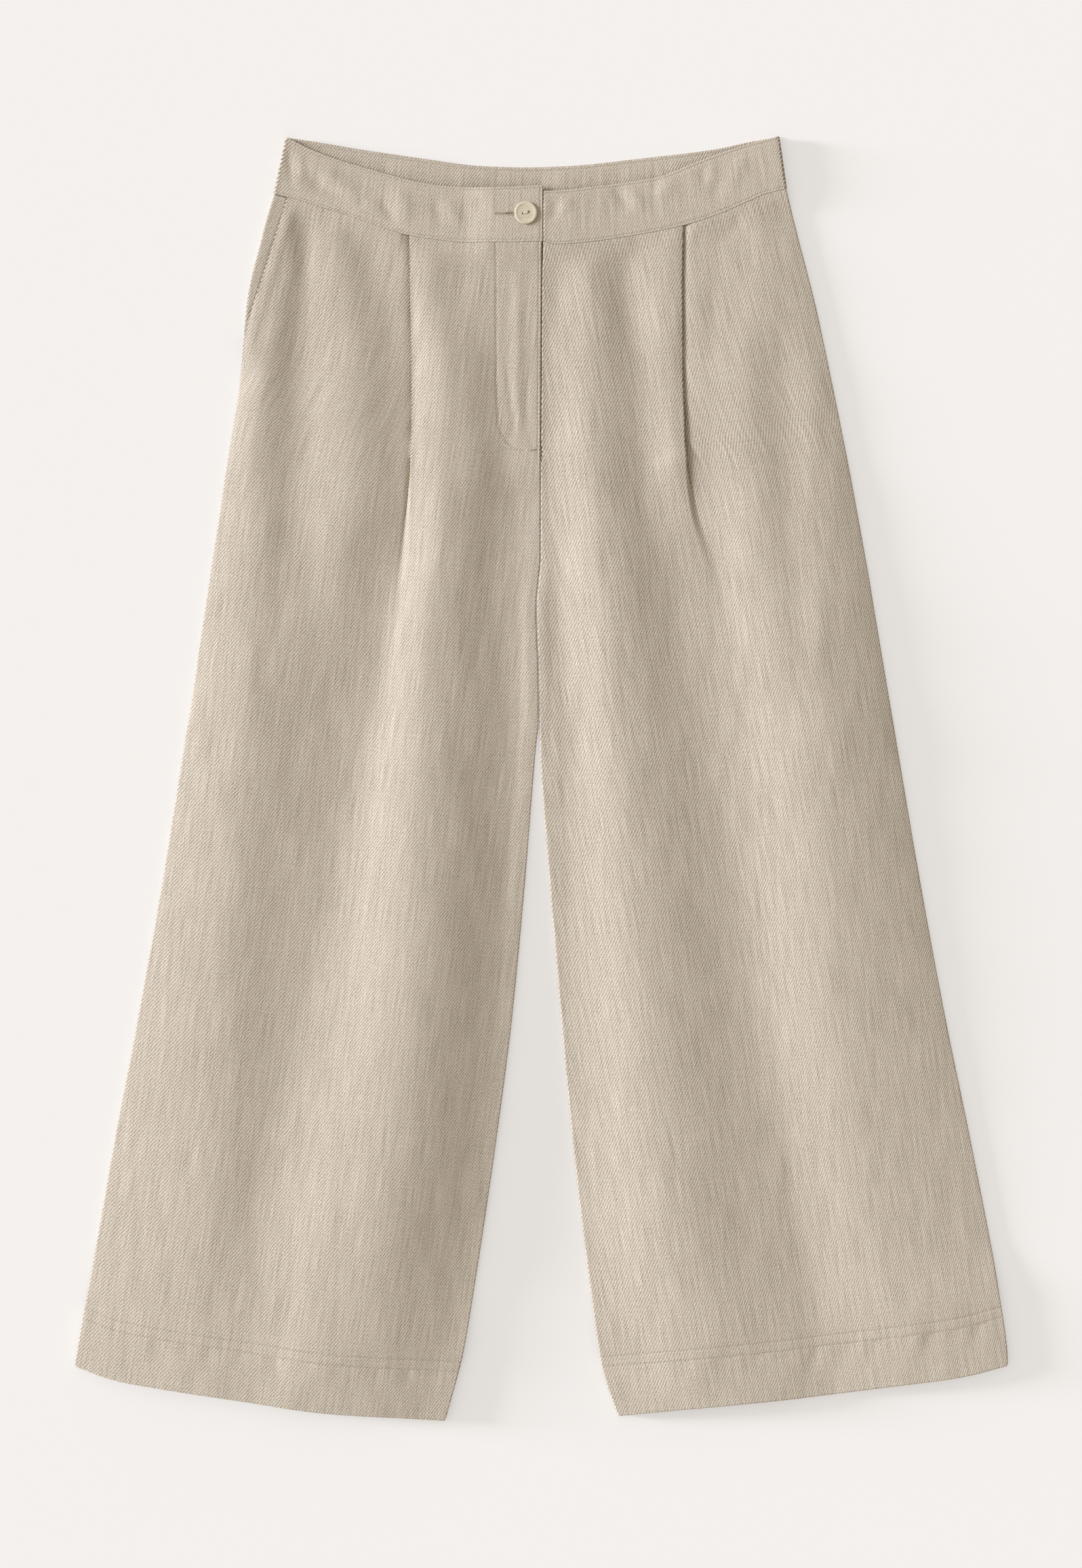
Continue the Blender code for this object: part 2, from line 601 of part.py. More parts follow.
def make_fly_facing(parent):
    """Follows the right front's underside, one layer lower, and ends in a curve."""
    edge = curve(FLY_EDGE, "out")
    curved = [row.down for row in FLY_EDGE[2:-1]]
    upper, lower = [], []
    for down in stops(FLY_EDGE[0].down, FLY_END, FLY_STEP, curved):
        outs = even(edge(down), FACING_INSET, 5)
        middles = [RIGHT.height(out, down) - LAYER for out in outs]
        upper.append([world(-1, out, down, z + CLOTH / 2) for out, z in zip(outs, middles)])
        lower.append([world(-1, out, down, z - CLOTH / 2) for out, z in zip(outs, middles)])
    return add_cloth("fly_facing", upper, lower, parent)


def make_button(parent):
    """A turned two-hole button with a rounded rim and a dished face, on the right band."""
    radius, top, r = BUTTON_DIAMETER / 2, BUTTON_THICKNESS, BUTTON_ROUNDING
    profile = [(0.0, 0.0), (radius - r, 0.0)]
    for angle in even(-math.pi / 2, math.pi / 2, 6)[1:-1]:
        middle = r if angle < 0 else top - r
        profile.append((radius - r * (1 - math.cos(angle)), middle + r * math.sin(angle)))
    profile += [(radius - r, top), (radius - BUTTON_RIM + r, top - 0.1)]
    profile += [(radius - BUTTON_RIM, top - BUTTON_DISH), (0.0, top - BUTTON_DISH - 0.2)]
    shape = bmesh.new()
    points = [shape.verts.new(Vector((x, 0.0, z)) * MM) for x, z in profile]
    edges = [shape.edges.new(pair) for pair in zip(points, points[1:])]
    bmesh.ops.spin(shape, geom=points + edges, cent=(0, 0, 0), axis=(0, 0, 1),
                   angle=math.tau, steps=32, use_duplicate=False)
    bmesh.ops.remove_doubles(shape, verts=shape.verts, dist=1e-6)
    band_top = right_band_height(BUTTON_OUT, 0.5) + BAND_CLOTH / 2
    centre = world(-1, BUTTON_OUT, BUTTON_DOWN, band_top + GAP)
    bmesh.ops.translate(shape, vec=centre, verts=shape.verts)
    button = add_object("button", shape, plain_material("horn", HORN, 0.35), parent)
    for number, way in enumerate((-1, 1)):
        hole = bmesh.new()
        bmesh.ops.create_cone(hole, cap_ends=True, segments=12, radius1=BUTTON_HOLE_RADIUS * MM,
                              radius2=BUTTON_HOLE_RADIUS * MM, depth=BUTTONHOLE.z * MM)
        bmesh.ops.translate(hole, vec=centre + way * BUTTON_HOLE_OFFSET * MM, verts=hole.verts)
        cut_out("button_hole_cutter_%d" % number, hole, button, parent)
    return button


def build():
    for item in list(bpy.data.objects):
        bpy.data.objects.remove(item, do_unlink=True)
    garment = bpy.data.objects.new("culottes", None)
    bpy.context.scene.collection.objects.link(garment)

    right_seam, left_seam = curve(RIGHT_SEAM, "down"), curve(LEFT_SEAM, "down")
    back_seam = curve(BACK_SEAM, "down")
    make_front("leg_front_right", Panel(RIGHT, right_seam, outer=right_front_edge), garment)
    make_front("leg_front_left", Panel(LEFT, left_seam, inner=left_front_edge), garment)
    make_back("leg_back_right", Panel(RIGHT, lambda out: back_seam(-out)), curves(POCKET_WRAP), garment)
    make_back("leg_back_left", Panel(LEFT, back_seam), None, garment)

    right_band = make_band("band_front_right", -1, RIGHT_BAND_TOP, RIGHT_SEAM, right_band_height,
                           BAND_CLOTH, garment)
    cut_buttonhole(right_band, garment)
    make_band("band_front_left", 1, LEFT_BAND_TOP, LEFT_SEAM, left_band_height, BAND_CLOTH, garment)
    make_band("band_back", 1, BACK_BAND_TOP, BACK_SEAM, back_band_height, CLOTH, garment)
    make_band("band_back_facing", 1, BACK_BAND_TOP, BACK_SEAM, facing_height, CLOTH, garment,
              set_back=FACING_SET_BACK)
    make_fly_facing(garment)
    make_button(garment)


build()
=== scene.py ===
import math
from collections import namedtuple

import bpy
import numpy as np
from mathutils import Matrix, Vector
from mathutils.bvhtree import BVHTree


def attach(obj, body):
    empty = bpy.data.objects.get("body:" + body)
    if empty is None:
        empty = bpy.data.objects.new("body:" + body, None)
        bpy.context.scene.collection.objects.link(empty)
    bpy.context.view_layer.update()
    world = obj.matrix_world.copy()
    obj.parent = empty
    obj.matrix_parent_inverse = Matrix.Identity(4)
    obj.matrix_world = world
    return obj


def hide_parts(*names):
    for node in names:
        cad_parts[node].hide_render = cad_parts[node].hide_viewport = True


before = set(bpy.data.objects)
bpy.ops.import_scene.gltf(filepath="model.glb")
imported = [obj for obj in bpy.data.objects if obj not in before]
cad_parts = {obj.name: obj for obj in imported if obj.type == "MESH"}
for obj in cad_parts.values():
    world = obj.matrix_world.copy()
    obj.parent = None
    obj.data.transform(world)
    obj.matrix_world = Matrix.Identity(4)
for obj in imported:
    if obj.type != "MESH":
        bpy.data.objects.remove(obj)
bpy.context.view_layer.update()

# ------------------------------------------------------------------------------------ Camera
# It looks straight down on the garment through a long lens, with the waist at the top of the
# picture. The picture's long side takes in a little over a metre of the table.
PICTURE_LENGTH = 1.1565
CAMERA_UP = 3.0
CAMERA_OVER = (-0.00025, -0.004)    # the point of the table that it is over
GARMENT_LEVEL = 0.004
camera_lens = bpy.data.cameras.new("camera")
camera_lens.sensor_width = 36.0
camera_lens.lens = camera_lens.sensor_width * CAMERA_UP / PICTURE_LENGTH
camera = bpy.data.objects.new("camera", camera_lens)
camera.location = (*CAMERA_OVER, CAMERA_UP + GARMENT_LEVEL)
bpy.context.scene.collection.objects.link(camera)
bpy.context.scene.camera = camera

# --------------------------------------------------------------------------------- Back legs
# Two backs cut in heavy undyed linen twill and sewn to the fronts at the side and inside leg.
# They lie flat under the fronts with their hems turned up inside. The right one's side edge
# comes round to the front at the pocket, where the front is folded back on it.
MM = 0.001
LENGTH = 947.5          # highest waist corner to lowest hem corner
CLOTH = 1.0             # one layer of the twill
GAP = 0.3               # air between two layers
LAYER = CLOTH + GAP
HEM_DEPTH = 44.0
HEM_STITCHES = (36.3, 43.5)     # the two rows that hold the hem, above its edge
SEAM_GAP = 0.06
SEAM_TRIES = 4          # steps that bring a panel's top edge onto the seam line
CROTCH = 327.0
HEM_CORNER = 3.0        # rounding of the hem's corners
HEM_CORNER_REACH = 14.0 # width over which a hem's corner draws its rows in
HEM_TUCK = 1.15         # from the hem's edge to where the cloth starts to turn under
TOP_AND_FALL = 80.0     # what the seams and the slanting hems take off the length at most
FOLDED_INSET = 1.4      # of a back's edge where the front's edge is rolled down over it
FOLDED_FROM = 160.0     # where that starts at the right side, below the pocket


def rows_of(kind, *rows):
    """A table whose rows have their columns named."""
    return [kind(*row) for row in rows]


# The flat shape: "out" is the distance from the centre line, "down" that from the highest corner
Outline = namedtuple("Outline", "down outer inner")
RIGHT_OUTLINE = rows_of(
    Outline, (42, 197.2, -0.5), (75, 206.8, -0.5), (125, 217.8, -0.2), (150, 219.8, 0.0),
    (175, 221.9, 0.1), (250, 233.3, 0.5), (312, 242.7, 0.7), (CROTCH, 245.0, 2.0),
    (345, 247.7, 3.5), (400, 255.8, 2.0), (430, 260.5, 1.7), (450, 263.8, 3.7), (550, 279.8, 11.8),
    (650, 297.8, 21.3), (750, 316.8, 34.3), (850, 334.3, 49.3), (900, 343.3, 57.8),
    (907, 344.25, 59.5), (948, 344.25, 70.8),
)
LEFT_OUTLINE = rows_of(
    Outline, (39, 180.8, 0.5), (75, 189.8, 0.5), (125, 202.6, 0.2), (175, 213.3, -0.1),
    (250, 228.3, -0.5), (312, 239.6, -0.7), (CROTCH, 242.3, -2.0), (345, 245.2, -3.5),
    (400, 254.4, -2.0), (430, 259.5, -1.7), (450, 262.8, -1.3), (550, 279.8, 5.8),
    (650, 298.3, 14.3), (750, 318.8, 23.8), (850, 337.3, 35.8), (907, 344.25, 44.3),
    (944, 344.25, 56.3),
)
Edge = namedtuple("Edge", "out down")
RIGHT_HEM = rows_of(
    Edge, (70.8, LENGTH), (92, 946), (158, 941.5), (226, 932), (285, 923), (315, 917.5),
    (344.25, 907.5),
)
LEFT_HEM = rows_of(
    Edge, (56.3, 944), (96, 940), (139, 936), (191, 931), (267, 921.5), (310, 915.5), (344.25, 907),
)
BACK_SEAM = rows_of(
    Edge, (-197.2, 43), (-184, 46.2), (-132, 53), (-44, 63.5), (-13, 64.5), (19, 63.5), (77, 57.5),
    (126, 50.5), (180.8, 39),
)
# The right back's side edge at the pocket: the strip that lies over on the front, and its bend
Wrap = namedtuple("Wrap", "down strip turn")
POCKET_WRAP = rows_of(
    Wrap, (42, 11.5, 180), (110, 10.5, 180), (128, 7.0, 180), (142, 4.0, 180), (152, 2.5, 180),
    (160, 1.0, 90), (167, 0.6, 0), (950, 0.6, 0),
)
WRAP_BEND = 3.2         # length of cloth in the bend
POCKET_END = 150.0
# The right front's side edge, inside the outline until the pocket ends
PocketEdge = namedtuple("PocketEdge", "down out")
POCKET_EDGE = rows_of(
    PocketEdge, (42, 186.8), (75, 196.8), (110, 207.8), (125, 213.0), (138, 217.0),
    (POCKET_END, 219.8),
)


def ease(value):
    """0 below 0, 1 above 1, and a smooth step between."""
    value = np.clip(value, 0.0, 1.0)
    return value * value * (3 - 2 * value)


def curve(table, column, along=0):
    """A smooth line through one named column of a table, which never swings past its rows."""
    xs = np.array([row[along] for row in table], float)
    ys = np.array([getattr(row, column) for row in table], float)
    steps = np.diff(ys) / np.diff(xs)
    middle = [2 * a * b / (a + b) if a * b > 0 else 0.0 for a, b in zip(steps, steps[1:])]
    slopes = np.array([steps[0], *middle, steps[-1]])

    def at(x):
        x = np.clip(x, xs[0], xs[-1])
        i = np.clip(np.searchsorted(xs, x, side="right") - 1, 0, len(xs) - 2)
        width = xs[i + 1] - xs[i]
        t = (x - xs[i]) / width
        start = ys[i] * (1 + 2 * t) + width * slopes[i] * t
        end = ys[i + 1] * (3 - 2 * t) - width * slopes[i + 1] * (1 - t)
        return start * (1 - t) ** 2 + end * t ** 2

    return at


def curves(table):
    """The curve of every column of a table but its first, by name."""
    return {name: curve(table, name) for name in table[0]._fields[1:]}


def ridge(distance, width):
    """1 on a line, and falling away to 0 on both sides of it."""
    return np.exp(-(distance / width) ** 2)


def fading(distance, reach):
    """1 up to an edge, and falling away to 0 past it."""
    return np.exp(-np.clip(distance, 0, None) / reach)


class Leg:
    """The flat shape of one leg. Side is -1 for the wearer's right and +1 for the left."""

    def __init__(self, side, outline, hem):
        self.side = side
        self.outer = curve(outline, "outer")
        self.inner_line = curve(outline, "inner")
        self.hem = curve(hem, "down")

    def inner(self, down):
        return self.inner_line(down) + GAP / 2


RIGHT = Leg(-1, RIGHT_OUTLINE, RIGHT_HEM)
LEFT = Leg(1, LEFT_OUTLINE, LEFT_HEM)

# Rows of a leg lie below its top, above its hem, or at a share of the length between the two
Rows = namedtuple("Rows", "below_top above_hem share")


def leg_rows(near_top, step, near_hem, finer=()):
    """Rows close together at the top and the hem, and evenly spread between them, with some
    finer ones at given shares."""
    top, hem = near_top[-1], near_hem[0]
    shares = np.linspace(0, 1, round((LENGTH - TOP_AND_FALL - top - hem) / step) + 1)[1:-1]
    shares = np.union1d(shares, finer)
    plain = np.ones(len(shares))
    return Rows(
        np.concatenate([near_top, top * plain, top + 0 * near_hem])[:, None],
        np.concatenate([hem + 0 * near_top, hem * plain, near_hem])[:, None],
        np.concatenate([0 * near_top, shares, 1 + 0 * near_hem])[:, None])


class Panel:
    """The flat shape of a front or back of a leg, between its seam, its two sides and its hem."""

    def __init__(self, leg, seam, outer=None, inner=None):
        self.leg = leg
        self.seam = seam
        self.outer = outer or leg.outer
        self.inner = inner or leg.inner
        near_top = seam(leg.outer(0))
        self.top_outs = self.outer(near_top), self.inner(near_top)
        self.bottom_outs = self.outer(LENGTH), self.inner(LENGTH)

    def width(self, down):
        return self.outer(down) - self.inner(down)

    def down_at(self, share, rows):
        """How far down the rows lie at a share of the width, from the side edge inwards."""
        top = self.seam(self.top_outs[0] + share * (self.top_outs[1] - self.top_outs[0]))
        for _ in range(SEAM_TRIES):
            top = self.seam(self.outer(top) - share * self.width(top))
        top = top + SEAM_GAP + rows.below_top
        bottom_out = self.bottom_outs[0] + share * (self.bottom_outs[1] - self.bottom_outs[0])
        return top + rows.share * (self.leg.hem(bottom_out) - rows.above_hem - top)

    def place(self, across, width, rows):
        """(out, down) of the points so far across each row, with the hem's corners rounded."""
        share = across / width
        down = self.down_at(share, rows)
        out = self.outer(down) - share * self.width(down)
        near = np.where(rows.share == 1, np.clip(rows.above_hem, 0, HEM_CORNER), HEM_CORNER)
        inset = HEM_CORNER - np.sqrt(HEM_CORNER ** 2 - (HEM_CORNER - near) ** 2)
        outer, inner = across / HEM_CORNER_REACH, (width - across) / HEM_CORNER_REACH
        inward = np.clip(1 - outer, 0, 1) - np.clip(1 - inner, 0, 1)
        return out - inset * inward, down


# The middle of a piece of cloth, as grids with a row for each line across it. "excess" is the
# length of cloth that its folds take up, and the last column is 1 on rubbed edges and below 0
# where shade is painted: in seams, grooves, crevices and the buttonhole's slit
Cloth = namedtuple("Cloth", "out down z thickness excess wear")


def turned_hem(cloth, rows, toward):
    """Adds the turn-up: round the hem's edge and back up inside, above (1) or below (-1)."""
    radius = LAYER / 2
    angles = np.linspace(0, math.pi, 7)[1:, None]
    edge = Cloth(*(np.repeat(part[-1:], len(angles), axis=0) for part in cloth))
    bend = edge._replace(down=edge.down + radius * np.sin(angles),
                         z=edge.z + toward * radius * (1 - np.cos(angles)))
    above = rows.above_hem[:, 0]
    kept = np.flatnonzero((rows.share[:, 0] == 1) & (above > HEM_TUCK) & (above < HEM_DEPTH))
    inside = Cloth(*(part[kept[::-2]] for part in cloth))
    inside = inside._replace(z=inside.z + toward * LAYER)
    return Cloth(*(np.concatenate(parts) for parts in zip(cloth, bend, inside)))


LEAN = math.radians(8.3)        # of the warp from the centre line, outwards down each leg
RIB_PITCH = 1.78                # from one twill rib to the next
RIB_ANGLE = math.radians(57.8)  # of the ribs from the weft
BOW_RADIUS = 1240.0             # of the slight bow across each leg that pressing gave the ribs
BOW_MIDDLE = 150.0


def taken_up(out, z):
    """How much longer the cloth is than the flat distance, from its inner end to each point."""
    step = np.hypot(np.diff(out, axis=1), np.diff(z, axis=1))
    inwards = np.cumsum(step[:, ::-1], 1)[:, ::-1]
    return np.concatenate([inwards, 0 * inwards[:, :1]], 1) - (out - out[:, -1:])


def leg_weave(side, cloth, face=1):
    """Where the cloth lies on its weave, in mm along the weft and the warp. A face of -1 is
    turned to the table."""
    x, y = side * (cloth.out + cloth.excess), -cloth.down
    weft = x * math.cos(side * LEAN) + y * math.sin(side * LEAN)
    warp = y * math.cos(side * LEAN) - x * math.sin(side * LEAN)
    bow = (x - side * BOW_MIDDLE) ** 2 / (2 * BOW_RADIUS)
    return face * (weft + bow * math.sin(RIB_ANGLE)), warp - bow * math.cos(RIB_ANGLE)


def add_piece(name, points, faces, marks=None, material=None):
    """A piece from points in mm. Marks place its points on the weave of a smooth piece."""
    mesh = bpy.data.meshes.new(name)
    mesh.from_pydata((points.reshape(-1, 3) * MM).tolist(), [], faces)
    if marks is not None:
        mesh.polygons.foreach_set("use_smooth", [True] * len(mesh.polygons))
        mesh.attributes.new("weave", "FLOAT_VECTOR", "POINT")
        mesh.attributes["weave"].data.foreach_set("vector", marks.ravel())
    if material:
        mesh.materials.append(material)
    mesh.update()
    piece = bpy.data.objects.new(name, mesh)
    bpy.context.scene.collection.objects.link(piece)
    return piece


def shell(name, side, cloth, weave):
    """One closed body of cloth: both its faces, half its thickness from the middle, and a rim."""
    middle = np.stack([side * cloth.out, LENGTH / 2 - cloth.down, cloth.z], axis=-1)
    marks = np.stack([*weave, cloth.wear], axis=-1)
    thickness = cloth.thickness
    normal = np.cross(np.gradient(middle, axis=1), np.gradient(middle, axis=0))
    if normal[..., 2].mean() < 0:
        normal = -normal[:, ::-1]
        middle, marks, thickness = middle[:, ::-1], marks[:, ::-1], thickness[:, ::-1]
    normal /= np.maximum(np.linalg.norm(normal, axis=-1, keepdims=True), 1e-9)
    half = thickness[..., None] / 2 * normal
    points = np.stack([middle + half, middle - half])
    top, under = np.arange(2 * thickness.size).reshape(2, *thickness.shape)
    quads = [(top[:-1, :-1], top[:-1, 1:], top[1:, 1:], top[1:, :-1]),
             (under[1:, :-1], under[1:, 1:], under[:-1, 1:], under[:-1, :-1])]
    back = slice(None, None, -1)
    for line in ((0, slice(None)), (slice(None), -1), (-1, back), (back, 0)):
        above, below = top[line], under[line]
        quads.append((above[1:], above[:-1], below[:-1], below[1:]))
    faces = np.concatenate([np.stack(quad, axis=-1).reshape(-1, 4) for quad in quads])
    return add_piece(name, points, faces.tolist(), np.stack([marks, marks]), leg_linen)


def feed(tree, node, inputs):
    """Links a node's inputs to Values, and sets those that are plain numbers or colours."""
    for key, value in inputs.items():
        if isinstance(value, Value):
            tree.links.new(value.socket, node.inputs[key])
        else:
            node.inputs[key].default_value = value


class Value:
    """A socket of a material. Sums written with it add Math nodes, and node() adds any other."""

    def __init__(self, tree, socket=None):
        self.tree = tree
        self.socket = socket

    def node(self, kind, settings, inputs, output=0):
        made = self.tree.nodes.new(kind)
        for name, setting in settings.items():
            setattr(made, name, setting)
        feed(self.tree, made, inputs)
        return Value(self.tree, made.outputs[output])

    def maths(self, operation, first, second=0.0):
        return self.node("ShaderNodeMath", {"operation": operation}, {0: first, 1: second})

    def __add__(self, other):
        return self.maths("ADD", self, other)

    def __sub__(self, other):
        return self.maths("SUBTRACT", self, other)

    def __rsub__(self, other):
        return self.maths("SUBTRACT", other, self)

    def __mul__(self, other):
        return self.maths("MULTIPLY", self, other)

    __radd__ = __add__

    def parts(self):
        """The three numbers of a vector."""
        return [self.node("ShaderNodeSeparateXYZ", {}, {0: self}, output) for output in range(3)]

    def noise(self, scale, detail=2.0):
        """Noise about 0, with features of about the length 1 / scale."""
        inputs = {"Vector": self, "Scale": scale, "Detail": detail}
        return self.node("ShaderNodeTexNoise", {}, inputs, "Fac") - 0.5

    def noises(self, *rows):
        """The sum of noises, each with how fine, how detailed and how strong it is."""
        return sum(self.noise(scale, detail) * strength for scale, detail, strength in rows)

    def vector(self, operation, *others):
        return self.node("ShaderNodeVectorMath", {"operation": operation},
                         dict(enumerate((self, *others))))

    def blend(self, first, second):
        """A colour between two, by this value."""
        return self.node("ShaderNodeMix", {"data_type": "RGBA"}, {0: self, 6: first, 7: second}, 2)


def new_material(name):
    """A material, its tree and its shader."""
    material = bpy.data.materials.new(name)
    material.use_nodes = True
    tree = material.node_tree
    return material, tree, tree.nodes["Principled BSDF"]


def shades(colour, *shares):
    """A colour made darker or paler by each share."""
    return [(*(np.array(colour) * share).tolist(), 1.0) for share in shares]


FLAX = (0.505, 0.435, 0.352)
# Noises that move the ribs from their places, and that cloud the colour
RIB_DRIFT = ((0.016, 1.0, 1.6), (0.11, 1.0, 0.42), (0.5, 2.0, 0.3))
CLOUDS = ((0.6, 2.0, 0.30), (0.018, 2.0, 0.09))
# Uneven yarns: how fine they are along the weft and the warp, and how strong
SLUBS = ((1.0, 0.03, 0.62), (0.35, 0.02, 0.22), (0.08, 0.008, 0.06), (0.05, 0.9, 0.18))
DARK_YARN = (0.46, 0.43, 0.37)      # as shares of the mean colour
PALE_YARN = (1.54, 1.57, 1.63)
WARM_TINT = (1.04, 1.0, 0.88, 1.0)
COOL_TINT = (0.96, 1.0, 1.12, 1.0)
RIB_CONTRAST = 0.42
RIB_WEAR = 0.16         # how much of it is rubbed off where the wear is 1
WEAR_AND_SHADE_TONE = 0.12
DEEP_SHADE = 1.5         # how far below 0 the painted shade starts to darken the colour itself
DEEP_DARK = 0.3


def linen(name):
    """Undyed linen twill: pale raised ribs over darker gaps, uneven yarn and a dry soft sheen."""
    material, tree, shader = new_material(name)
    weave = Value(tree).node("ShaderNodeAttribute", {"attribute_name": "weave"}, {}, "Vector")
    weft, warp, wear = weave.parts()
    flat = weave.node("ShaderNodeCombineXYZ", {}, {0: weft, 1: warp})
    turns = (weft * (math.sin(RIB_ANGLE) / RIB_PITCH) - warp * (math.cos(RIB_ANGLE) / RIB_PITCH)
             + flat.noises(*RIB_DRIFT))
    rib = turns.maths("COSINE", turns * math.tau) * 0.5
    fibre = flat.noise(1.15)
    slub = 0.0
    for fine_weft, fine_warp, strength in SLUBS:
        yarns = weave.node("ShaderNodeCombineXYZ", {}, {0: weft * fine_weft, 1: warp * fine_warp})
        slub = yarns.noise(1.0) * strength + slub
    uneven_rib = rib * (RIB_CONTRAST - wear * RIB_WEAR) * (flat.noise(0.35) * 1.6 + 1.0)
    # Painted light: the cloth is made a little paler towards the hem, as if lit a little more there
    light = (0.48 - warp * 0.00005 + uneven_rib + fibre * 1.1 + flat.noises(*CLOUDS) + slub
             + wear * WEAR_AND_SHADE_TONE)
    tint = (flat.noise(0.8) * 3.2 + 0.5).blend(WARM_TINT, COOL_TINT)
    # Painted shade: below 0 the wear column darkens the yarn's tone, and far below 0 the colour
    # itself; above 0 it pales rubbed edges
    depth = (wear + DEEP_SHADE).maths("MINIMUM", 0.0) * DEEP_DARK + 1.0
    colour = light.blend(*shades(FLAX, DARK_YARN, PALE_YARN))
    colour = colour.vector("MULTIPLY", tint).vector("MULTIPLY", depth)
    relief = {"Height": uneven_rib * 1.6 + fibre * 0.45 + slub * 0.3, "Distance": 0.00006}
    bump = rib.node("ShaderNodeBump", {}, relief)
    feed(tree, shader, {"Base Color": colour, "Roughness": 0.84 + fibre * 0.2, "Normal": bump,
                        "Sheen Weight": 0.22, "Sheen Roughness": 0.45, "Specular IOR Level": 0.25})
    return material


BACK_NEAR_TOP = np.array([0.0, 0.3, 0.8, 1.6, 3.0, 6.0, 10.0])
BACK_NEAR_HEM = np.array([60.0, 52, 46, 44, 43.5, 43, 40, 37, 36.3, 35.6, 30, 22, 14, 8, 4, 2.2,
                          HEM_TUCK])
BACK_STEP = 7.0
BACK_COLUMNS = 34
BACK_MARGINS = (8.0, 4.0)   # from the side and the inside edge to the first of these columns
RIM_STEPS = np.array([0.0, 0.2, 0.5, 1.2, 3.0])     # columns beside a plain edge
WRAP_COLUMNS = 14
WRAP_SHADE = 1.6        # painted shade on the weave of the bend's outer side
WRAP_SHADE_REACH = 0.8
POCKET_SHADE = 3.6      # painted shade in the crevice under the front's edge, on the strip
POCKET_SHADE_REACH = 0.9


def rim_taper(distance, reach=0.5, least=0.3):
    """Share of the full thickness at a distance from a rounded edge."""
    near = np.clip(distance / reach, 0, 1)
    return np.maximum(np.sqrt(1 - (1 - near) ** 2), least)


def pocket_wrap(wrap, down):
    """Across and up along the strip that is bent over on the front, from its edge to the bend."""
    turn, strip = np.radians(wrap["turn"](down)), wrap["strip"](down)
    heading = turn * np.minimum((np.arange(2 * WRAP_COLUMNS) + 0.5) / WRAP_COLUMNS, 1)
    bend = np.full((len(down), WRAP_COLUMNS), WRAP_BEND / WRAP_COLUMNS)
    length = np.concatenate([bend, np.repeat(strip / WRAP_COLUMNS, WRAP_COLUMNS, 1)], axis=1)
    across = np.cumsum(length * np.cos(heading), 1)
    up = np.cumsum(length * np.sin(heading), 1)
    reach = np.maximum(across.max(1, keepdims=True), 0) + CLOTH / 2
    return (np.concatenate([(reach - across)[:, ::-1], reach], axis=1),
            np.concatenate([up[:, ::-1], 0 * reach], axis=1))


def back_leg(name, panel, wrap=None):
    """A back that lies flat, with its hem turned up on top of it."""
    rows = leg_rows(BACK_NEAR_TOP, BACK_STEP, BACK_NEAR_HEM)
    down = panel.down_at(0.5, rows)
    width = panel.width(down)
    if wrap:
        across, z = pocket_wrap(wrap, down)
    else:
        across, z = RIM_STEPS + 0 * width, np.zeros((len(width), len(RIM_STEPS)))
    flat = BACK_MARGINS[0] + (width - sum(BACK_MARGINS)) * np.linspace(0, 1, BACK_COLUMNS)
    flat = np.concatenate([flat, width - RIM_STEPS[::-1]], axis=1)
    across = np.concatenate([across, flat], axis=1)
    z = np.concatenate([z, 0 * flat], axis=1) + CLOTH / 2
    out, down = panel.place(across, width, rows)
    columns = np.arange(across.shape[1])
    from_side = np.minimum(columns, columns[::-1])
    taper = rim_taper(np.interp(from_side, range(len(RIM_STEPS)), RIM_STEPS))
    # Painted shade on the bend's outer side and, on the strip, in the crevice under the front's
    # edge
    wear = -WRAP_SHADE * (z > CLOTH) * ridge(z - WRAP_BEND / 2, WRAP_SHADE_REACH)
    if wrap:
        strip = ridge(out - pocket_edge(down), POCKET_SHADE_REACH)
        wear = wear - POCKET_SHADE * (z > 2 * CLOTH) * strip
    cloth = Cloth(out, down, z, CLOTH * taper + 0 * out, taken_up(out, z), wear + 0 * out)
    cloth = turned_hem(cloth, rows, 1)
    return shell(name, panel.leg.side, cloth, leg_weave(panel.leg.side, cloth, -1))


def sew_in(piece, node):
    """Puts a piece of cloth in its node's place: hangs it on the root and hides the node."""
    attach(piece, "root")
    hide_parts(node)


def inset_edges(leg, from_down):
    """A back's outer and inner edges, which the front's edges roll down over below some way."""
    def outer(down):
        return leg.outer(down) - FOLDED_INSET * ease((down - from_down) / 20)

    def inner(down):
        return leg.inner(down) + FOLDED_INSET * ease((down - CROTCH) / 12)

    return outer, inner


leg_linen = linen("leg_linen")
back_seam = curve(BACK_SEAM, "down")
pocket_edge = curve(POCKET_EDGE, "out")
back_right = back_leg("back_leg_right", Panel(RIGHT, lambda out: back_seam(-out),
                                              *inset_edges(RIGHT, FOLDED_FROM)),
                      curves(POCKET_WRAP))
back_left = back_leg("back_leg_left", Panel(LEFT, back_seam, *inset_edges(LEFT, 0)))
sew_in(back_right, "leg_back_right")
sew_in(back_left, "leg_back_left")

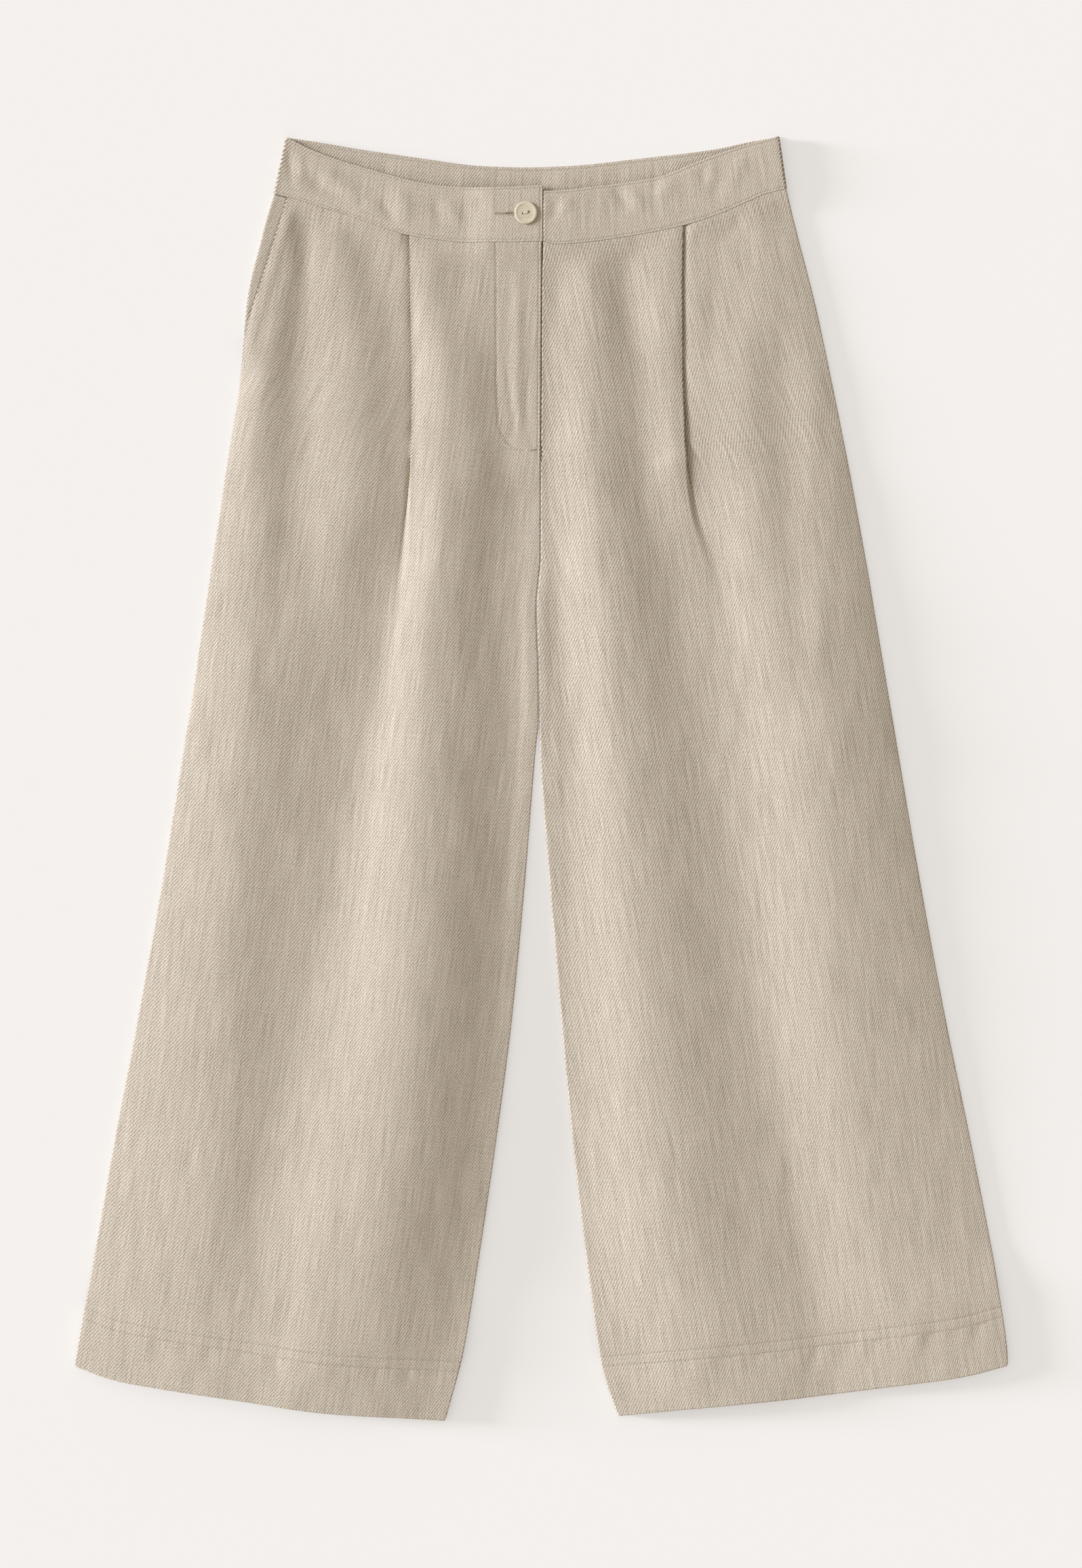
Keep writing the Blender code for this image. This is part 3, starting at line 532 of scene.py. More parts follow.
# -------------------------------------------------------------------------------- Front legs
# Two fronts of the same twill, each with one pleat that is folded towards its side and opens
# into the leg. The right front laps over the left one at the fly and is folded back at its
# pocket. Both roll down over the backs at the side and the inside leg.
REST = CLOTH + GAP + CLOTH / 2  # middle of a front where it lies on the back
BAND_CLOTH = 2.3                # outer band, its interfacing and its turned-under inside
BAND_REST = 2 * LAYER + BAND_CLOTH / 2
BAND_UNDERLAP = 32.0
BAND_FALL = 22.0
FLY_WIDTH = 36.0
FLY_END = 232.0
FLY_UNDERLAP = 8.0
FLY_FALL = 40.0         # width over which the front comes down beside the fly facing
FLY_END_FALL = 36.0     # length over which it does below the facing
STRIP_WIDTH = 10.0      # of the pocket's strip
STRIP_RISE = 2.2
STRIP_FALL = 9.0
CLEAR = 4.0             # how far past a layer's edge the cloth over it starts to come down
HEM_RISE = 56.0         # length over which the front comes up to lie on the hem's turn-ups
PLEAT_FALL = 30.0       # width over which the step at the pleat fades inwards
MEET_REACH = 20.0       # length over which the front comes up to the band
RIGHT_BAND_END = 1.0    # how far past the centre line the band's right half ends
MEET_LEVEL = 0.35       # middle of the front above the middle of the band where they meet
PLEAT_PRESSED = 0.85    # share of a pleat's height that is left under the band
ROLL = 1.2              # how far an edge rolls down
ROLL_REACH = 0.45       # and over what width
STEP_RISE = 1.95        # of the left half beside the right half's edge, which lies on it
STEP_CLEAR = 0.3        # from that edge to where the rise starts
STEP_LENGTH = 0.7
STEP_FADE = 70.0
STEP_SWELL = 0.45       # how much higher the rise is at its start, from where it falls away
STEP_SWELL_REACH = 2.0
BESIDE_SHADE = 1.4      # where the right half's edge keeps the light off
BESIDE_REACH = 1.6

RIGHT_SEAM = rows_of(
    Edge, (-1, 78), (27, 78.5), (55, 78.5), (83, 75.5), (98, 73), (119, 66.5), (139, 59.5),
    (162, 52.5), (184, 45.5), (197.2, 42.5),
)
LEFT_SEAM = rows_of(
    Edge, (-BAND_UNDERLAP, 77), (-1, 77.5), (12, 80), (33, 78.5), (61, 74.5), (89, 69.5),
    (110, 64.5), (131, 57.5), (152, 48.5), (166, 42.5), (180.8, 39),
)
# "out" is the pleat's visible folded edge, "layer" the cloth folded under, "turn" the angle of
# its two bends and "bend" their length
Pleat = namedtuple("Pleat", "down out layer turn bend")
RIGHT_PLEAT = rows_of(
    Pleat, (70, 96.2, 12, 180, 2.1), (195, 94.4, 5, 180, 2.1), (228, 94.6, 1.8, 125, 2.2),
    (262, 95.2, 0.6, 75, 2.6), (300, 95.8, 0.5, 36, 3.6), (345, 97.5, 0.5, 15, 5),
    (420, 105, 0.5, 4, 6), (950, 190, 0.5, 3, 6),
)
LEFT_PLEAT = rows_of(
    Pleat, (60, 104.6, 12, 180, 2.1), (110, 103.2, 11, 180, 2.1), (165, 103.4, 9, 180, 2.1),
    (222, 104.8, 4, 160, 2.1), (250, 106.0, 1.2, 82, 2.5), (276, 109, 0.6, 38, 3.2),
    (300, 114.5, 0.5, 17, 4.4), (330, 123, 0.5, 8, 5), (430, 138, 0.5, 3, 6), (950, 190, 0.5, 3, 6),
)
# How the cloth outside of a pleat's folded edge rises beside it, and how much shade is painted in
# the crevice
Crevice = namedtuple("Crevice", "rise reach shade")
RIGHT_CREVICE = Crevice(1.1, 5.0, 4.2)
LEFT_CREVICE = Crevice(1.35, 5.0, 1.6)
# Soft folds along the legs, with how far each spreads to either side of its crest. The side
# fold rolls over to the side edge, so it has no outward spread of its own
Fold = namedtuple("Fold", "down out outward inward height")
RIGHT_FOLDS = {
    "side": rows_of(
        Fold, (45, 178, 0, 13, 1.6), (110, 193, 0, 23, 4.6), (180, 205, 0, 35, 5.5),
        (260, 212, 0, 47, 5.4), (350, 213, 0, 62, 7.2), (450, 218, 0, 74, 9.0),
        (600, 233, 0, 75, 9.0), (780, 245, 0, 84, 9.5), (950, 255, 0, 90, 5.0),
    ),
    "hip": rows_of(
        Fold, (45, 159, 20, 31, 1.6), (110, 149, 37, 34, 4.3), (180, 140, 50, 43, 5.4),
        (260, 141, 50, 48, 6.5), (350, 158, 43, 47, 3.8), (450, 162, 42, 46, 1.6),
        (600, 167, 42, 41, 2.3), (780, 175, 43, 38, 2.0), (950, 173, 41, 39, 1.0),
    ),
    "crease": rows_of(
        Fold, (45, 80, 18, 35, 0.0), (110, 77, 22, 40, 2.4), (180, 68, 29, 43, 6.8),
        (260, 67, 31, 49, 8.6), (350, 77, 38, 61, 9.6), (450, 85, 52, 77, 12.4),
        (600, 92, 79, 83, 16.0), (780, 117, 103, 94, 17.0), (950, 155, 110, 102, 6.0),
    ),
}
LEFT_FOLDS = {
    "side": rows_of(
        Fold, (45, 161, 0, 22, 1.5), (110, 179, 0, 30, 1.8), (180, 197, 0, 36, 2.4),
        (260, 202, 0, 54, 4.3), (350, 203, 0, 80, 7.6), (450, 207, 0, 75, 9.9),
        (600, 216, 0, 69, 9.9), (780, 244, 0, 67, 6.0), (950, 290, 0, 64, 1.0),
    ),
    "hip": rows_of(
        Fold, (45, 157, 19, 33, 0.2), (110, 157, 26, 38, 2.2), (180, 153, 35, 44, 4.5),
        (260, 155, 33, 38, 5.8), (350, 165, 30, 40, 3.0), (450, 173, 31, 42, 0.2),
        (600, 176, 32, 44, 0.2), (780, 179, 34, 45, 0.6), (950, 180, 35, 45, 0.2),
    ),
    "inner": rows_of(
        Fold, (45, 37, 24, 28, 1.4), (110, 39, 31, 31, 3.2), (180, 39, 45, 36, 5.9),
        (260, 41, 57, 38, 8.3), (350, 50, 66, 40, 9.4), (450, 59, 75, 43, 9.1),
        (600, 74, 87, 60, 10.7), (780, 95, 102, 75, 12.2), (950, 132, 95, 89, 3.5),
    ),
}
# The low lip along the inside leg, where the seam turns up and rolls over
Lip = namedtuple("Lip", "down width height")
RIGHT_LIP = rows_of(
    Lip, (280, 12, 0.0), (330, 13, 0.6), (400, 15, 1.0), (500, 16, 0.85), (620, 13, 0.3),
    (700, 12, 0.0), (950, 12, 0.0),
)
LEFT_LIP = rows_of(
    Lip, (280, 11, 0.0), (330, 11, 0.6), (400, 11, 0.6), (460, 10, 0.0), (950, 10, 0.0),
)
LIP_CREST = 0.4         # share of a lip's width from the edge to its crest
LIP_EDGE = 0.6          # share of its height that is left at the edge
# Shorter ridges, and troughs where the height is below 0, from one place to another
Crease = namedtuple("Crease", "out down to_out to_down width height")
RIGHT_CREASES = rows_of(
    Crease, (66, 76, 40, 95, 4.0, -0.7), (58, 72, 34, 92, 4.5, 0.5), (25, 78, 14, 104, 3.0, -0.4),
    (18, 74, 17, 246, 4.5, 0.9), (190, 44, 182, 120, 5.0, 0.6), (176, 50, 174, 130, 5.0, -0.35),
    (160, 48, 157, 74, 3.5, -0.4), (141, 54, 139, 84, 3.2, -0.5), (122, 62, 118, 90, 3.2, -0.45),
    (108, 68, 104, 86, 2.6, -0.35), (31, 150, 23, 227, 3.0, 0.3),
    (26.5, 160, 18.5, 230, 2.2, -0.35), (21, 165, 14, 232, 2.2, 0.3), (11, 170, 10, 232, 2.4, -0.3),
)
LEFT_CREASES = rows_of(
    Crease, (20, 76, 52, 150, 10.0, 0.6), (46, 70, 84, 190, 12.0, -0.8),
    (128, 56, 126, 76, 3.0, -0.4), (145, 50, 139, 80, 3.5, -0.5), (158, 44, 150, 76, 3.5, 0.4),
    (116, 62, 117, 84, 2.6, -0.5), (96, 66, 92, 84, 3.0, 0.3), (114, 50, 120, 290, 9.0, 0.9),
)
# Puckers below the hem's stitches, which pull them together: above the hem, from its outer end
Pucker = namedtuple("Pucker", "out length lean height")
RIGHT_PUCKERS = rows_of(
    Pucker, (282, 22, 3, -0.68), (262, 16, -2, -0.45), (243, 24, 4, -0.75), (221, 14, 2, -0.45),
    (196, 20, -3, -0.52), (172, 12, 2, -0.38), (150, 22, 3, -0.60), (121, 18, -2, -0.45),
    (98, 14, 2, -0.45),
)
LEFT_PUCKERS = rows_of(
    Pucker, (322, 20, -3, -0.72), (305, 14, 2, -0.56), (286, 24, -4, -0.88), (268, 18, 3, -0.64),
    (246, 22, -2, -0.80), (226, 16, 3, -0.64), (203, 24, -3, -0.80), (180, 13, 2, -0.48),
    (158, 20, -3, -0.64), (131, 16, 2, -0.48), (104, 20, 3, -0.56), (82, 12, -2, -0.40),
)
# How far each edge rolls down, as a share, and how much shade is painted in the crevice at the side
# edge
Curl = namedtuple("Curl", "down outer inner shade")
RIGHT_CURLS = rows_of(
    Curl, (40, 0.15, 1.0, 4.6), (110, 0.15, 1.0, 4.6), (150, 0.15, 1.0, 2.4), (190, 1, 1.0, 0),
    (FLY_END, 1, 1.0, 0), (262, 1, 0.3, 0), (CROTCH - 12, 1, 0.3, 0), (CROTCH + 30, 1, 1, 0),
    (950, 1, 1, 0),
)
LEFT_CURLS = rows_of(
    Curl, (40, 1, 0, 0), (235, 1, 0, 0), (262, 1, 0.3, 0), (CROTCH - 12, 1, 0.3, 0),
    (CROTCH + 30, 1, 1, 0), (950, 1, 1, 0),
)
# Low waves along all of the cloth: the length of each, its direction and its phase
Wave = namedtuple("Wave", "length direction phase")
WAVES = rows_of(
    Wave, (17, 0.12, 0.0), (22, -0.15, 2.1), (29, 0.22, 4.0), (41, -0.3, 1.2), (63, 0.5, 5.1),
    (85, 1.3, 3.3),
)
WAVE_SLOPE = 0.010
PLEAT_DIP = 0.9         # of the top layer down to the pleat's folded edge, and its width
PLEAT_DIP_REACH = 9.0
PLEAT_EDGE = 1.2        # from a pleat's "out" to its outermost point
PLEAT_TOP_REACH = 9.0   # from a pleat's edge to where the cloth is fully the top layer
CREVICE_TURN = 120.0    # turn of the bends from which the cloth beside the pleat rises fully
CREVICE_FADE = 60.0     # width over which that rise fades away
CREVICE_REACH = 0.8     # of the shade painted in the crevice
DARK_TURN = 50.0        # turn of the bends from which shade starts to be painted in the crevice
SIDE_ROLL = (1.5, 0.9)  # powers that shape the side fold's roll towards the edge
WAVE_MARGIN = 20.0      # width at the edges over which the waves die away

FRONT_NEAR_TOP = np.array([0.0, 0.25, 0.6, 1.0, 1.5, 2.2, 3.2, 4.6, 6.4, 8.6, 11, 13.6, 16.3,
                           19, 22, 25])
FRONT_STEP = 3.15
FRONT_NEAR_HEM = np.array([
    90, 86.8, 83.6, 80.4, 77.2, 74, 70.8, 67.6, 64.4, 61.2, 58, 55, 52, 49.4, 47.2, 45.6, 44.7,
    44.1, 43.5, 42.9, 42.3, 41.2, 39.9, 38.6, 37.5, 36.9, 36.3, 35.7, 35.1, 34, 32.2, 30, 27.6,
    25, 22.2, 19.4, 16.6, 13.8, 11, 8.6, 6.4, 4.6, 3.2, 2.2, 1.6, HEM_TUCK])
ROLL_ANGLES = np.radians([0, 20, 42, 66, 90])
ROLL_STEPS = CLOTH / 2 + ROLL_REACH * (1 - np.cos(ROLL_ANGLES))
ROLL_DROPS = ROLL * (1 - np.sin(ROLL_ANGLES))
SIDE_STEPS = np.concatenate([ROLL_STEPS, [1.25, 1.9, 3.2]])
INNER_STEPS = np.array([46, 44, 42, 40, 38, 36.4, 35.1, 34.3, 33.7, 33.1, 32.4, 31.4, 30.2, 29,
                        27.7, 26.4, 25.1, 23.8, 22.5, 21.2, 19.9, 18.6, 17.3, 16, 14.7, 13.4, 12.2,
                        11, 10.2, 9.6, 9.1, 8.7, 8.4, 8.15, 7.9, 7.5, 6.4, 5.1, 4, 3.2, 2.6, 2.1,
                        1.6, 1.2])
OUTER_COLUMNS = 37
MIDDLE_COLUMNS = 20
BEND_COLUMNS = 8
LAYER_COLUMNS = 6
EDGE_GROOVE = 2.1       # from the fly's edge to the groove that its stitches pull in
J_GROOVE = 1.1          # how strongly the J-shaped row pulls, against the others
GROOVE_DEPTH = 0.3
# Painted shade in the grooves that stitches pull
GROOVE_SHADE = 0.5
SEAM_SHADE = 0.2        # painted shade beside the seam under the band
RUBBED = 0.15           # how pale an edge is rubbed
# The J-shaped row of stitches that holds the fly facing
Place = namedtuple("Place", "out down")
J_STITCH = rows_of(
    Place, (33.6, 78), (33.4, 130), (33.3, 184), (32, 213.5), (29.4, 219.5), (25.75, 225),
    (21.75, 229), (17.4, 231.6), (12.0, 232),
)
J_ROWS = np.linspace(0.130, 0.178, 36)      # shares of the length at the J's bend


def crease_height(creases, out, down):
    """Soft ridges and troughs that fade out at both ends."""
    height = 0 * out
    for crease in creases:
        run_out, run_down = crease.to_out - crease.out, crease.to_down - crease.down
        length = math.hypot(run_out, run_down)
        past = out - crease.out, down - crease.down
        along = (past[0] * run_out + past[1] * run_down) / length ** 2
        aside = (past[0] * run_down - past[1] * run_out) / length
        fade = ease(along / 0.35) * ease((1 - along) / 0.5)
        height = height + crease.height * fade * ridge(aside, crease.width)
    return height


def distance_to(path, out, down):
    """Distance from a line of places."""
    nearest = 1e9 + 0 * out
    for start, end in zip(path, path[1:]):
        run = end.out - start.out, end.down - start.down
        along = ((out - start.out) * run[0] + (down - start.down) * run[1]) / (
            run[0] ** 2 + run[1] ** 2)
        along = np.clip(along, 0, 1)
        nearest = np.minimum(nearest, np.hypot(out - start.out - along * run[0],
                                               down - start.down - along * run[1]))
    return nearest


def wave_height(side, out, down):
    """Low uneven waves over all of the cloth."""
    height = 0 * out
    for wave in WAVES:
        x = side * out + 7 * np.sin(down / 67 + wave.phase)
        turns = (x * math.cos(wave.direction) + down * math.sin(wave.direction)) / wave.length
        strength = 1 + 0.9 * np.sin(down / (3.1 * wave.length) + 4 * wave.phase)
        height = height + strength * wave.length * np.sin(math.tau * turns + wave.phase)
    return height * WAVE_SLOPE / math.tau


def fly_reach(down):
    """1 beside the fly, and falling to 0 below its end."""
    return ease((FLY_END + 2 * CLEAR + FLY_END_FALL - down) / FLY_END_FALL)


def right_levels(out, down):
    """The right front rises over the fly facing with the underlap, and over the pocket's strip."""
    beside_fly = ease((FLY_WIDTH + CLEAR + FLY_FALL - out) / FLY_FALL) * fly_reach(down)
    beside_strip = ease((out - pocket_edge(down) + STRIP_WIDTH + CLEAR) / STRIP_FALL)
    below_strip = ease((POCKET_END + CLEAR + 20 - down) / 20)
    return 2 * LAYER * beside_fly + STRIP_RISE * beside_strip * below_strip


def right_band_climb(out):
    """The band's right half climbs over the left half's underlap at the centre."""
    return (BAND_CLOTH + GAP) * ease((BAND_UNDERLAP + CLEAR + BAND_FALL - out) / BAND_FALL)


def beside_right(past):
    """The left half's rise beside the right half's edge, by its distance from there."""
    swell = STEP_SWELL * fading(past, STEP_SWELL_REACH)
    return (STEP_RISE + swell) * ease(past / STEP_LENGTH) * ease(1 - past / STEP_FADE)


def beside_shade(past):
    """How dark the left half is beside the right half's edge."""
    return BESIDE_SHADE * fading(past, BESIDE_REACH)


def left_levels(out, down):
    """The left front rises beside the right front's edge as far as that lies on it."""
    return beside_right(out + RIGHT.inner(down) - STEP_CLEAR) * fly_reach(down)


def left_band_climb(out):
    """The band's left half rises beside the right half's end."""
    return beside_right(out - RIGHT_BAND_END - STEP_CLEAR)


class Front(Panel):
    """A front with its pleat, its folds and creases, and the layers that it lies on."""

    def __init__(self, leg, seam, outer, inner, pleat, crevice, folds, lip, creases, puckers,
                 curls, levels, band_climb):
        super().__init__(leg, seam, outer, inner)
        self.pleat = curves(pleat)
        self.crevice = crevice
        self.folds = {name: curves(rows) for name, rows in folds.items()}
        self.lip = curves(lip)
        self.creases = creases
        self.puckers = puckers
        self.curls = curves(curls)
        self.levels = levels
        self.band_climb = band_climb

    def height(self, out, down):
        """Middle of the front's face layer above the table, but for its pleat and hem."""
        z = REST + self.levels(out, down) + crease_height(self.creases, out, down)
        for name, fold in self.folds.items():
            past = out - fold["out"](down)
            spread = np.where(past > 0, fold["outward"](down), fold["inward"](down))
            near = np.clip(np.abs(past) / np.maximum(spread, 1), 0, 1)
            profile = 0.5 + 0.5 * np.cos(math.pi * near)
            if name == "side":
                room = np.maximum(self.leg.outer(down) - fold["out"](down), 1)
                rolled = (1 - np.clip(past / room, 0, 1) ** SIDE_ROLL[0]) ** SIDE_ROLL[1]
                profile = np.where(past > 0, rolled, profile)
            z = z + fold["height"](down) * profile
        near = (out - self.leg.inner(down)) / self.lip["width"](down)
        edge = 1 - (1 - LIP_EDGE) * (1 - np.clip(near / LIP_CREST, 0, 1)) ** 2
        inside = 0.5 + 0.5 * np.cos(math.pi * np.clip((near - LIP_CREST) / (1 - LIP_CREST), 0, 1))
        z = z + self.lip["height"](down) * edge * inside
        above_hem = self.leg.hem(out) - down
        z = z + 2 * LAYER * ease((HEM_DEPTH + CLEAR + HEM_RISE - above_hem) / HEM_RISE)
        from_edge = np.minimum(self.leg.outer(down) - out, out - self.leg.inner(down))
        return z + wave_height(self.leg.side, out, down) * ease(from_edge / WAVE_MARGIN)

    def section(self, down):
        """Across each row from the side: across, lift by the pleat, 1 where it is on top, and how
        dark it is in the pleat."""
        layer, turn, bend = (self.pleat[name](down) for name in ("layer", "turn", "bend"))
        rising = (np.arange(BEND_COLUMNS) + 0.5) / BEND_COLUMNS
        heading = np.radians(turn) * np.concatenate([rising, np.ones(LAYER_COLUMNS), rising[::-1]])
        bends = np.repeat(bend / BEND_COLUMNS, BEND_COLUMNS, axis=1)
        layers = np.repeat(layer / LAYER_COLUMNS, LAYER_COLUMNS, axis=1)
        length = np.concatenate([bends, layers, bends], axis=1)
        path = np.cumsum(length * np.cos(heading), 1)
        rise = np.cumsum(length * np.sin(heading), 1)
        width = self.width(down)
        fold = self.outer(down) - self.pleat["out"](down)
        start = fold - path[:, -1:]
        last = SIDE_STEPS[-1]
        outer_run = last + (start - last) * np.linspace(0, 1, OUTER_COLUMNS + 1)[1:]
        outer_run = np.concatenate([SIDE_STEPS + 0 * start, outer_run], axis=1)
        middle_run = (width - INNER_STEPS[0] - fold) * np.linspace(0, 1, MIDDLE_COLUMNS)[1:-1]
        edge = np.concatenate([INNER_STEPS, ROLL_STEPS[::-1]])
        inner_run = np.concatenate([fold + middle_run, width - edge], axis=1)
        fade = ease(1 - (inner_run - fold - np.maximum(layer, 4)) / PLEAT_FALL)
        outside, inside = fold - outer_run - PLEAT_EDGE, inner_run - fold
        risen_outside, risen_inside = (
            most * ease(turn / CREVICE_TURN) * (1 - (1 - np.clip(aside / reach, 0, 1)) ** 2)
            * ease(1 - aside / CREVICE_FADE) for aside, most, reach in (
                (outside, self.crevice.rise, self.crevice.reach),
                (inside, PLEAT_DIP, PLEAT_DIP_REACH)))
        shade = np.concatenate([fading(outside, CREVICE_REACH),
                                np.ones((len(turn), BEND_COLUMNS + LAYER_COLUMNS)),
                                np.sin(heading[:, -BEND_COLUMNS:]), 0 * inner_run], axis=1)
        across = np.concatenate([outer_run, start + path, inner_run], axis=1)
        lift = np.concatenate([risen_outside, rise, rise[:, -1:] * fade + risen_inside], axis=1)
        on_top = np.concatenate([ease((fold - outer_run - 1) / PLEAT_TOP_REACH), 0 * rise,
                                 ease((inner_run - fold - 1) / PLEAT_TOP_REACH)], axis=1)
        shut = ease((turn - DARK_TURN) / (180 - DARK_TURN))
        return across, lift, on_top, shade * shut * self.crevice.shade

    def pucker_height(self, out, above_hem):
        height = 0 * out
        for pucker in self.puckers:
            along = (HEM_STITCHES[0] - above_hem) / pucker.length
            aside = out - pucker.out - pucker.lean * along
            width = 3.2 + 2.4 * np.clip(along, 0, 1)
            fade = ease(along / 0.08) * ease((1 - along) / 0.8)
            height = height + pucker.height * fade * ridge(aside, width)
        return height

    def cloth(self, rows):
        """The middle of the face layer, with rubbed edges, the grooves that stitches pull, and
        painted shade.
        """
        down = self.down_at(0.5, rows)
        width = self.width(down)
        across, lift, on_top, pleat_shade = self.section(down)
        out, down = self.place(across, width, rows)
        z = self.height(out, down) + lift
        meet = ease(1 - (down - self.seam(out)) / MEET_REACH)
        under = REST + PLEAT_PRESSED * lift
        met = BAND_REST + self.band_climb(out) + MEET_LEVEL
        z = z + meet * (under + on_top * (met - under) - z)
        for edge, steps in (("outer", across), ("inner", width - across)):
            z = z - np.interp(steps, ROLL_STEPS, ROLL_DROPS) * self.curls[edge](down)
        groove = 0 * out
        if self.leg is RIGHT:
            groove = ridge(width - across - EDGE_GROOVE, 0.5) * ease((FLY_END + 12 - down) / 12)
            groove = groove + J_GROOVE * ridge(distance_to(J_STITCH, out, down), 0.8)
        near_hem = rows.share == 1
        for stitched in HEM_STITCHES:
            groove = groove + near_hem * ridge(rows.above_hem - stitched, 0.7)
        z = z - GROOVE_DEPTH * groove + near_hem * self.pucker_height(out, rows.above_hem)
        rubbed = fading(across, 1.6) + fading(width - across, 1.6)
        rubbed = rubbed + near_hem * fading(rows.above_hem, 1.8)
        rolled_shade = self.curls["shade"](down) * fading(across - CLOTH / 2, 0.45)
        # Painted shade darkens the weave in the stitch grooves, the pleat's crevice, the crevice at
        # the side edge, beside the seam under the band and beside the right half's edge; rubbed
        # edges are paler
        wear = RUBBED * rubbed - GROOVE_SHADE * groove - pleat_shade - rolled_shade
        seam_shade = SEAM_SHADE * fading(rows.below_top, 0.6) * (rows.share == 0)
        columns = np.arange(out.shape[1])
        ends = np.minimum(columns, columns[::-1])
        thickness = CLOTH * rim_taper(0.12 + 0.15 * ends) * np.where(
            rows.share == 0, rim_taper(rows.below_top + 0.05, 0.35, 0.8), 1)
        if self.leg is LEFT:
            wear = wear - beside_shade(out + RIGHT.inner(down)) * ease((FLY_END + 30 - down) / 30)
        excess = taken_up(out, z - self.levels(out, down))
        return Cloth(out, down, z, thickness, excess, wear - seam_shade)


def front_leg(name, front, finer=()):
    rows = leg_rows(FRONT_NEAR_TOP, FRONT_STEP, FRONT_NEAR_HEM, finer)
    cloth = turned_hem(front.cloth(rows), rows, -1)
    return shell(name, front.leg.side, cloth, leg_weave(front.leg.side, cloth))


def right_front_edge(down):
    return np.where(down < POCKET_END, pocket_edge(down), RIGHT.outer(down))


def left_front_edge(down):
    """The left front runs on under the right front as far as the fly goes."""
    return LEFT.inner(down) - FLY_UNDERLAP * ease((FLY_END + 2 * CLEAR - down) / (3 * CLEAR))


right_seam, left_seam = curve(RIGHT_SEAM, "down"), curve(LEFT_SEAM, "down")
right_front = Front(RIGHT, right_seam, right_front_edge, RIGHT.inner, RIGHT_PLEAT, RIGHT_CREVICE,
                    RIGHT_FOLDS, RIGHT_LIP, RIGHT_CREASES, RIGHT_PUCKERS, RIGHT_CURLS,
                    right_levels, right_band_climb)
left_front = Front(LEFT, left_seam, LEFT.outer, left_front_edge, LEFT_PLEAT, LEFT_CREVICE,
                   LEFT_FOLDS, LEFT_LIP, LEFT_CREASES, LEFT_PUCKERS, LEFT_CURLS, left_levels,
                   left_band_climb)
front_leg_right = front_leg("front_leg_right", right_front, J_ROWS)
front_leg_left = front_leg("front_leg_left", left_front)
sew_in(front_leg_right, "leg_front_right")
sew_in(front_leg_left, "leg_front_left")

# -------------------------------------------------------------------------------- Fly facing
# A strip of the same twill behind the right front's edge, cut round at its lower end. The
# J-shaped row of stitches holds it, and the zip is sewn between it and the left front.
FACING_INSET = 1.2
FlyEdge = namedtuple("FlyEdge", "down out")
FLY_EDGE = rows_of(
    FlyEdge, (79, FLY_WIDTH), (185, FLY_WIDTH), (210, 34.0), (222, 29.0), (229, 22.0),
    (FLY_END, 13.0),
)
fly_edge = curve(FLY_EDGE, "out")
down = np.concatenate([np.linspace(FLY_EDGE[0].down, 200, 40), np.linspace(201, FLY_END, 24)])
down = down[:, None]
out = fly_edge(down) + (FACING_INSET - fly_edge(down)) * np.linspace(0, 1, 18)
cloth = Cloth(out, down + 0 * out, right_front.height(out, down + 0 * out) - LAYER,
              CLOTH + 0 * out, 0 * out, 0 * out)
fly_facing = shell("fly_facing_piece", -1, cloth, leg_weave(-1, cloth))
sew_in(fly_facing, "fly_facing")

# --------------------------------------------------------------------------------- Waistband
# A deep curved band of two layers of twill with stiffening between them, edge-stitched all
# round. Its front is in two halves, the right one on top, with the buttonhole. Its back is one
# piece with its own inside, which shows in the opening of the waist.
BAND_ROLL = 2.4         # fall of the bend at each side, where the front goes over to the back
BAND_ROLL_REACH = 0.8   # and its width
BAND_END_SHADE = 3.0    # painted shade on the weave where the band bends down at each side
BAND_STITCHES = 1.9     # from the band's edges to their stitches
FACING_SET_BACK = 0.8   # of the back's inside below its outside
OPENING_SHADE = 1.5     # painted shade on the inside of the waist beside the front band's edge
OPENING_REACH = 5.0
RIGHT_BAND_TOP = rows_of(
    Edge, (-1, 36.5), (41, 38), (69, 37), (90, 34), (111, 28.5), (138, 21), (167, 11), (188.2, 0.5),
)
LEFT_BAND_TOP = rows_of(
    Edge, (-BAND_UNDERLAP, 40), (1, 40.5), (17, 40), (33, 38), (61, 34.5), (89, 29.5), (110, 21),
    (131, 13), (149, 7), (175.2, 0),
)
# The back's edges run right across, from the right side (negative) to the left side
BACK_BAND_TOP = rows_of(
    Edge, (-188.2, 0.5), (-168, 3.5), (-132, 9.5), (-91, 15.5), (-44, 21.5), (-13, 22.5),
    (19, 21.5), (77, 15.5), (126, 9.5), (155, 3.5), (175.2, 0),
)
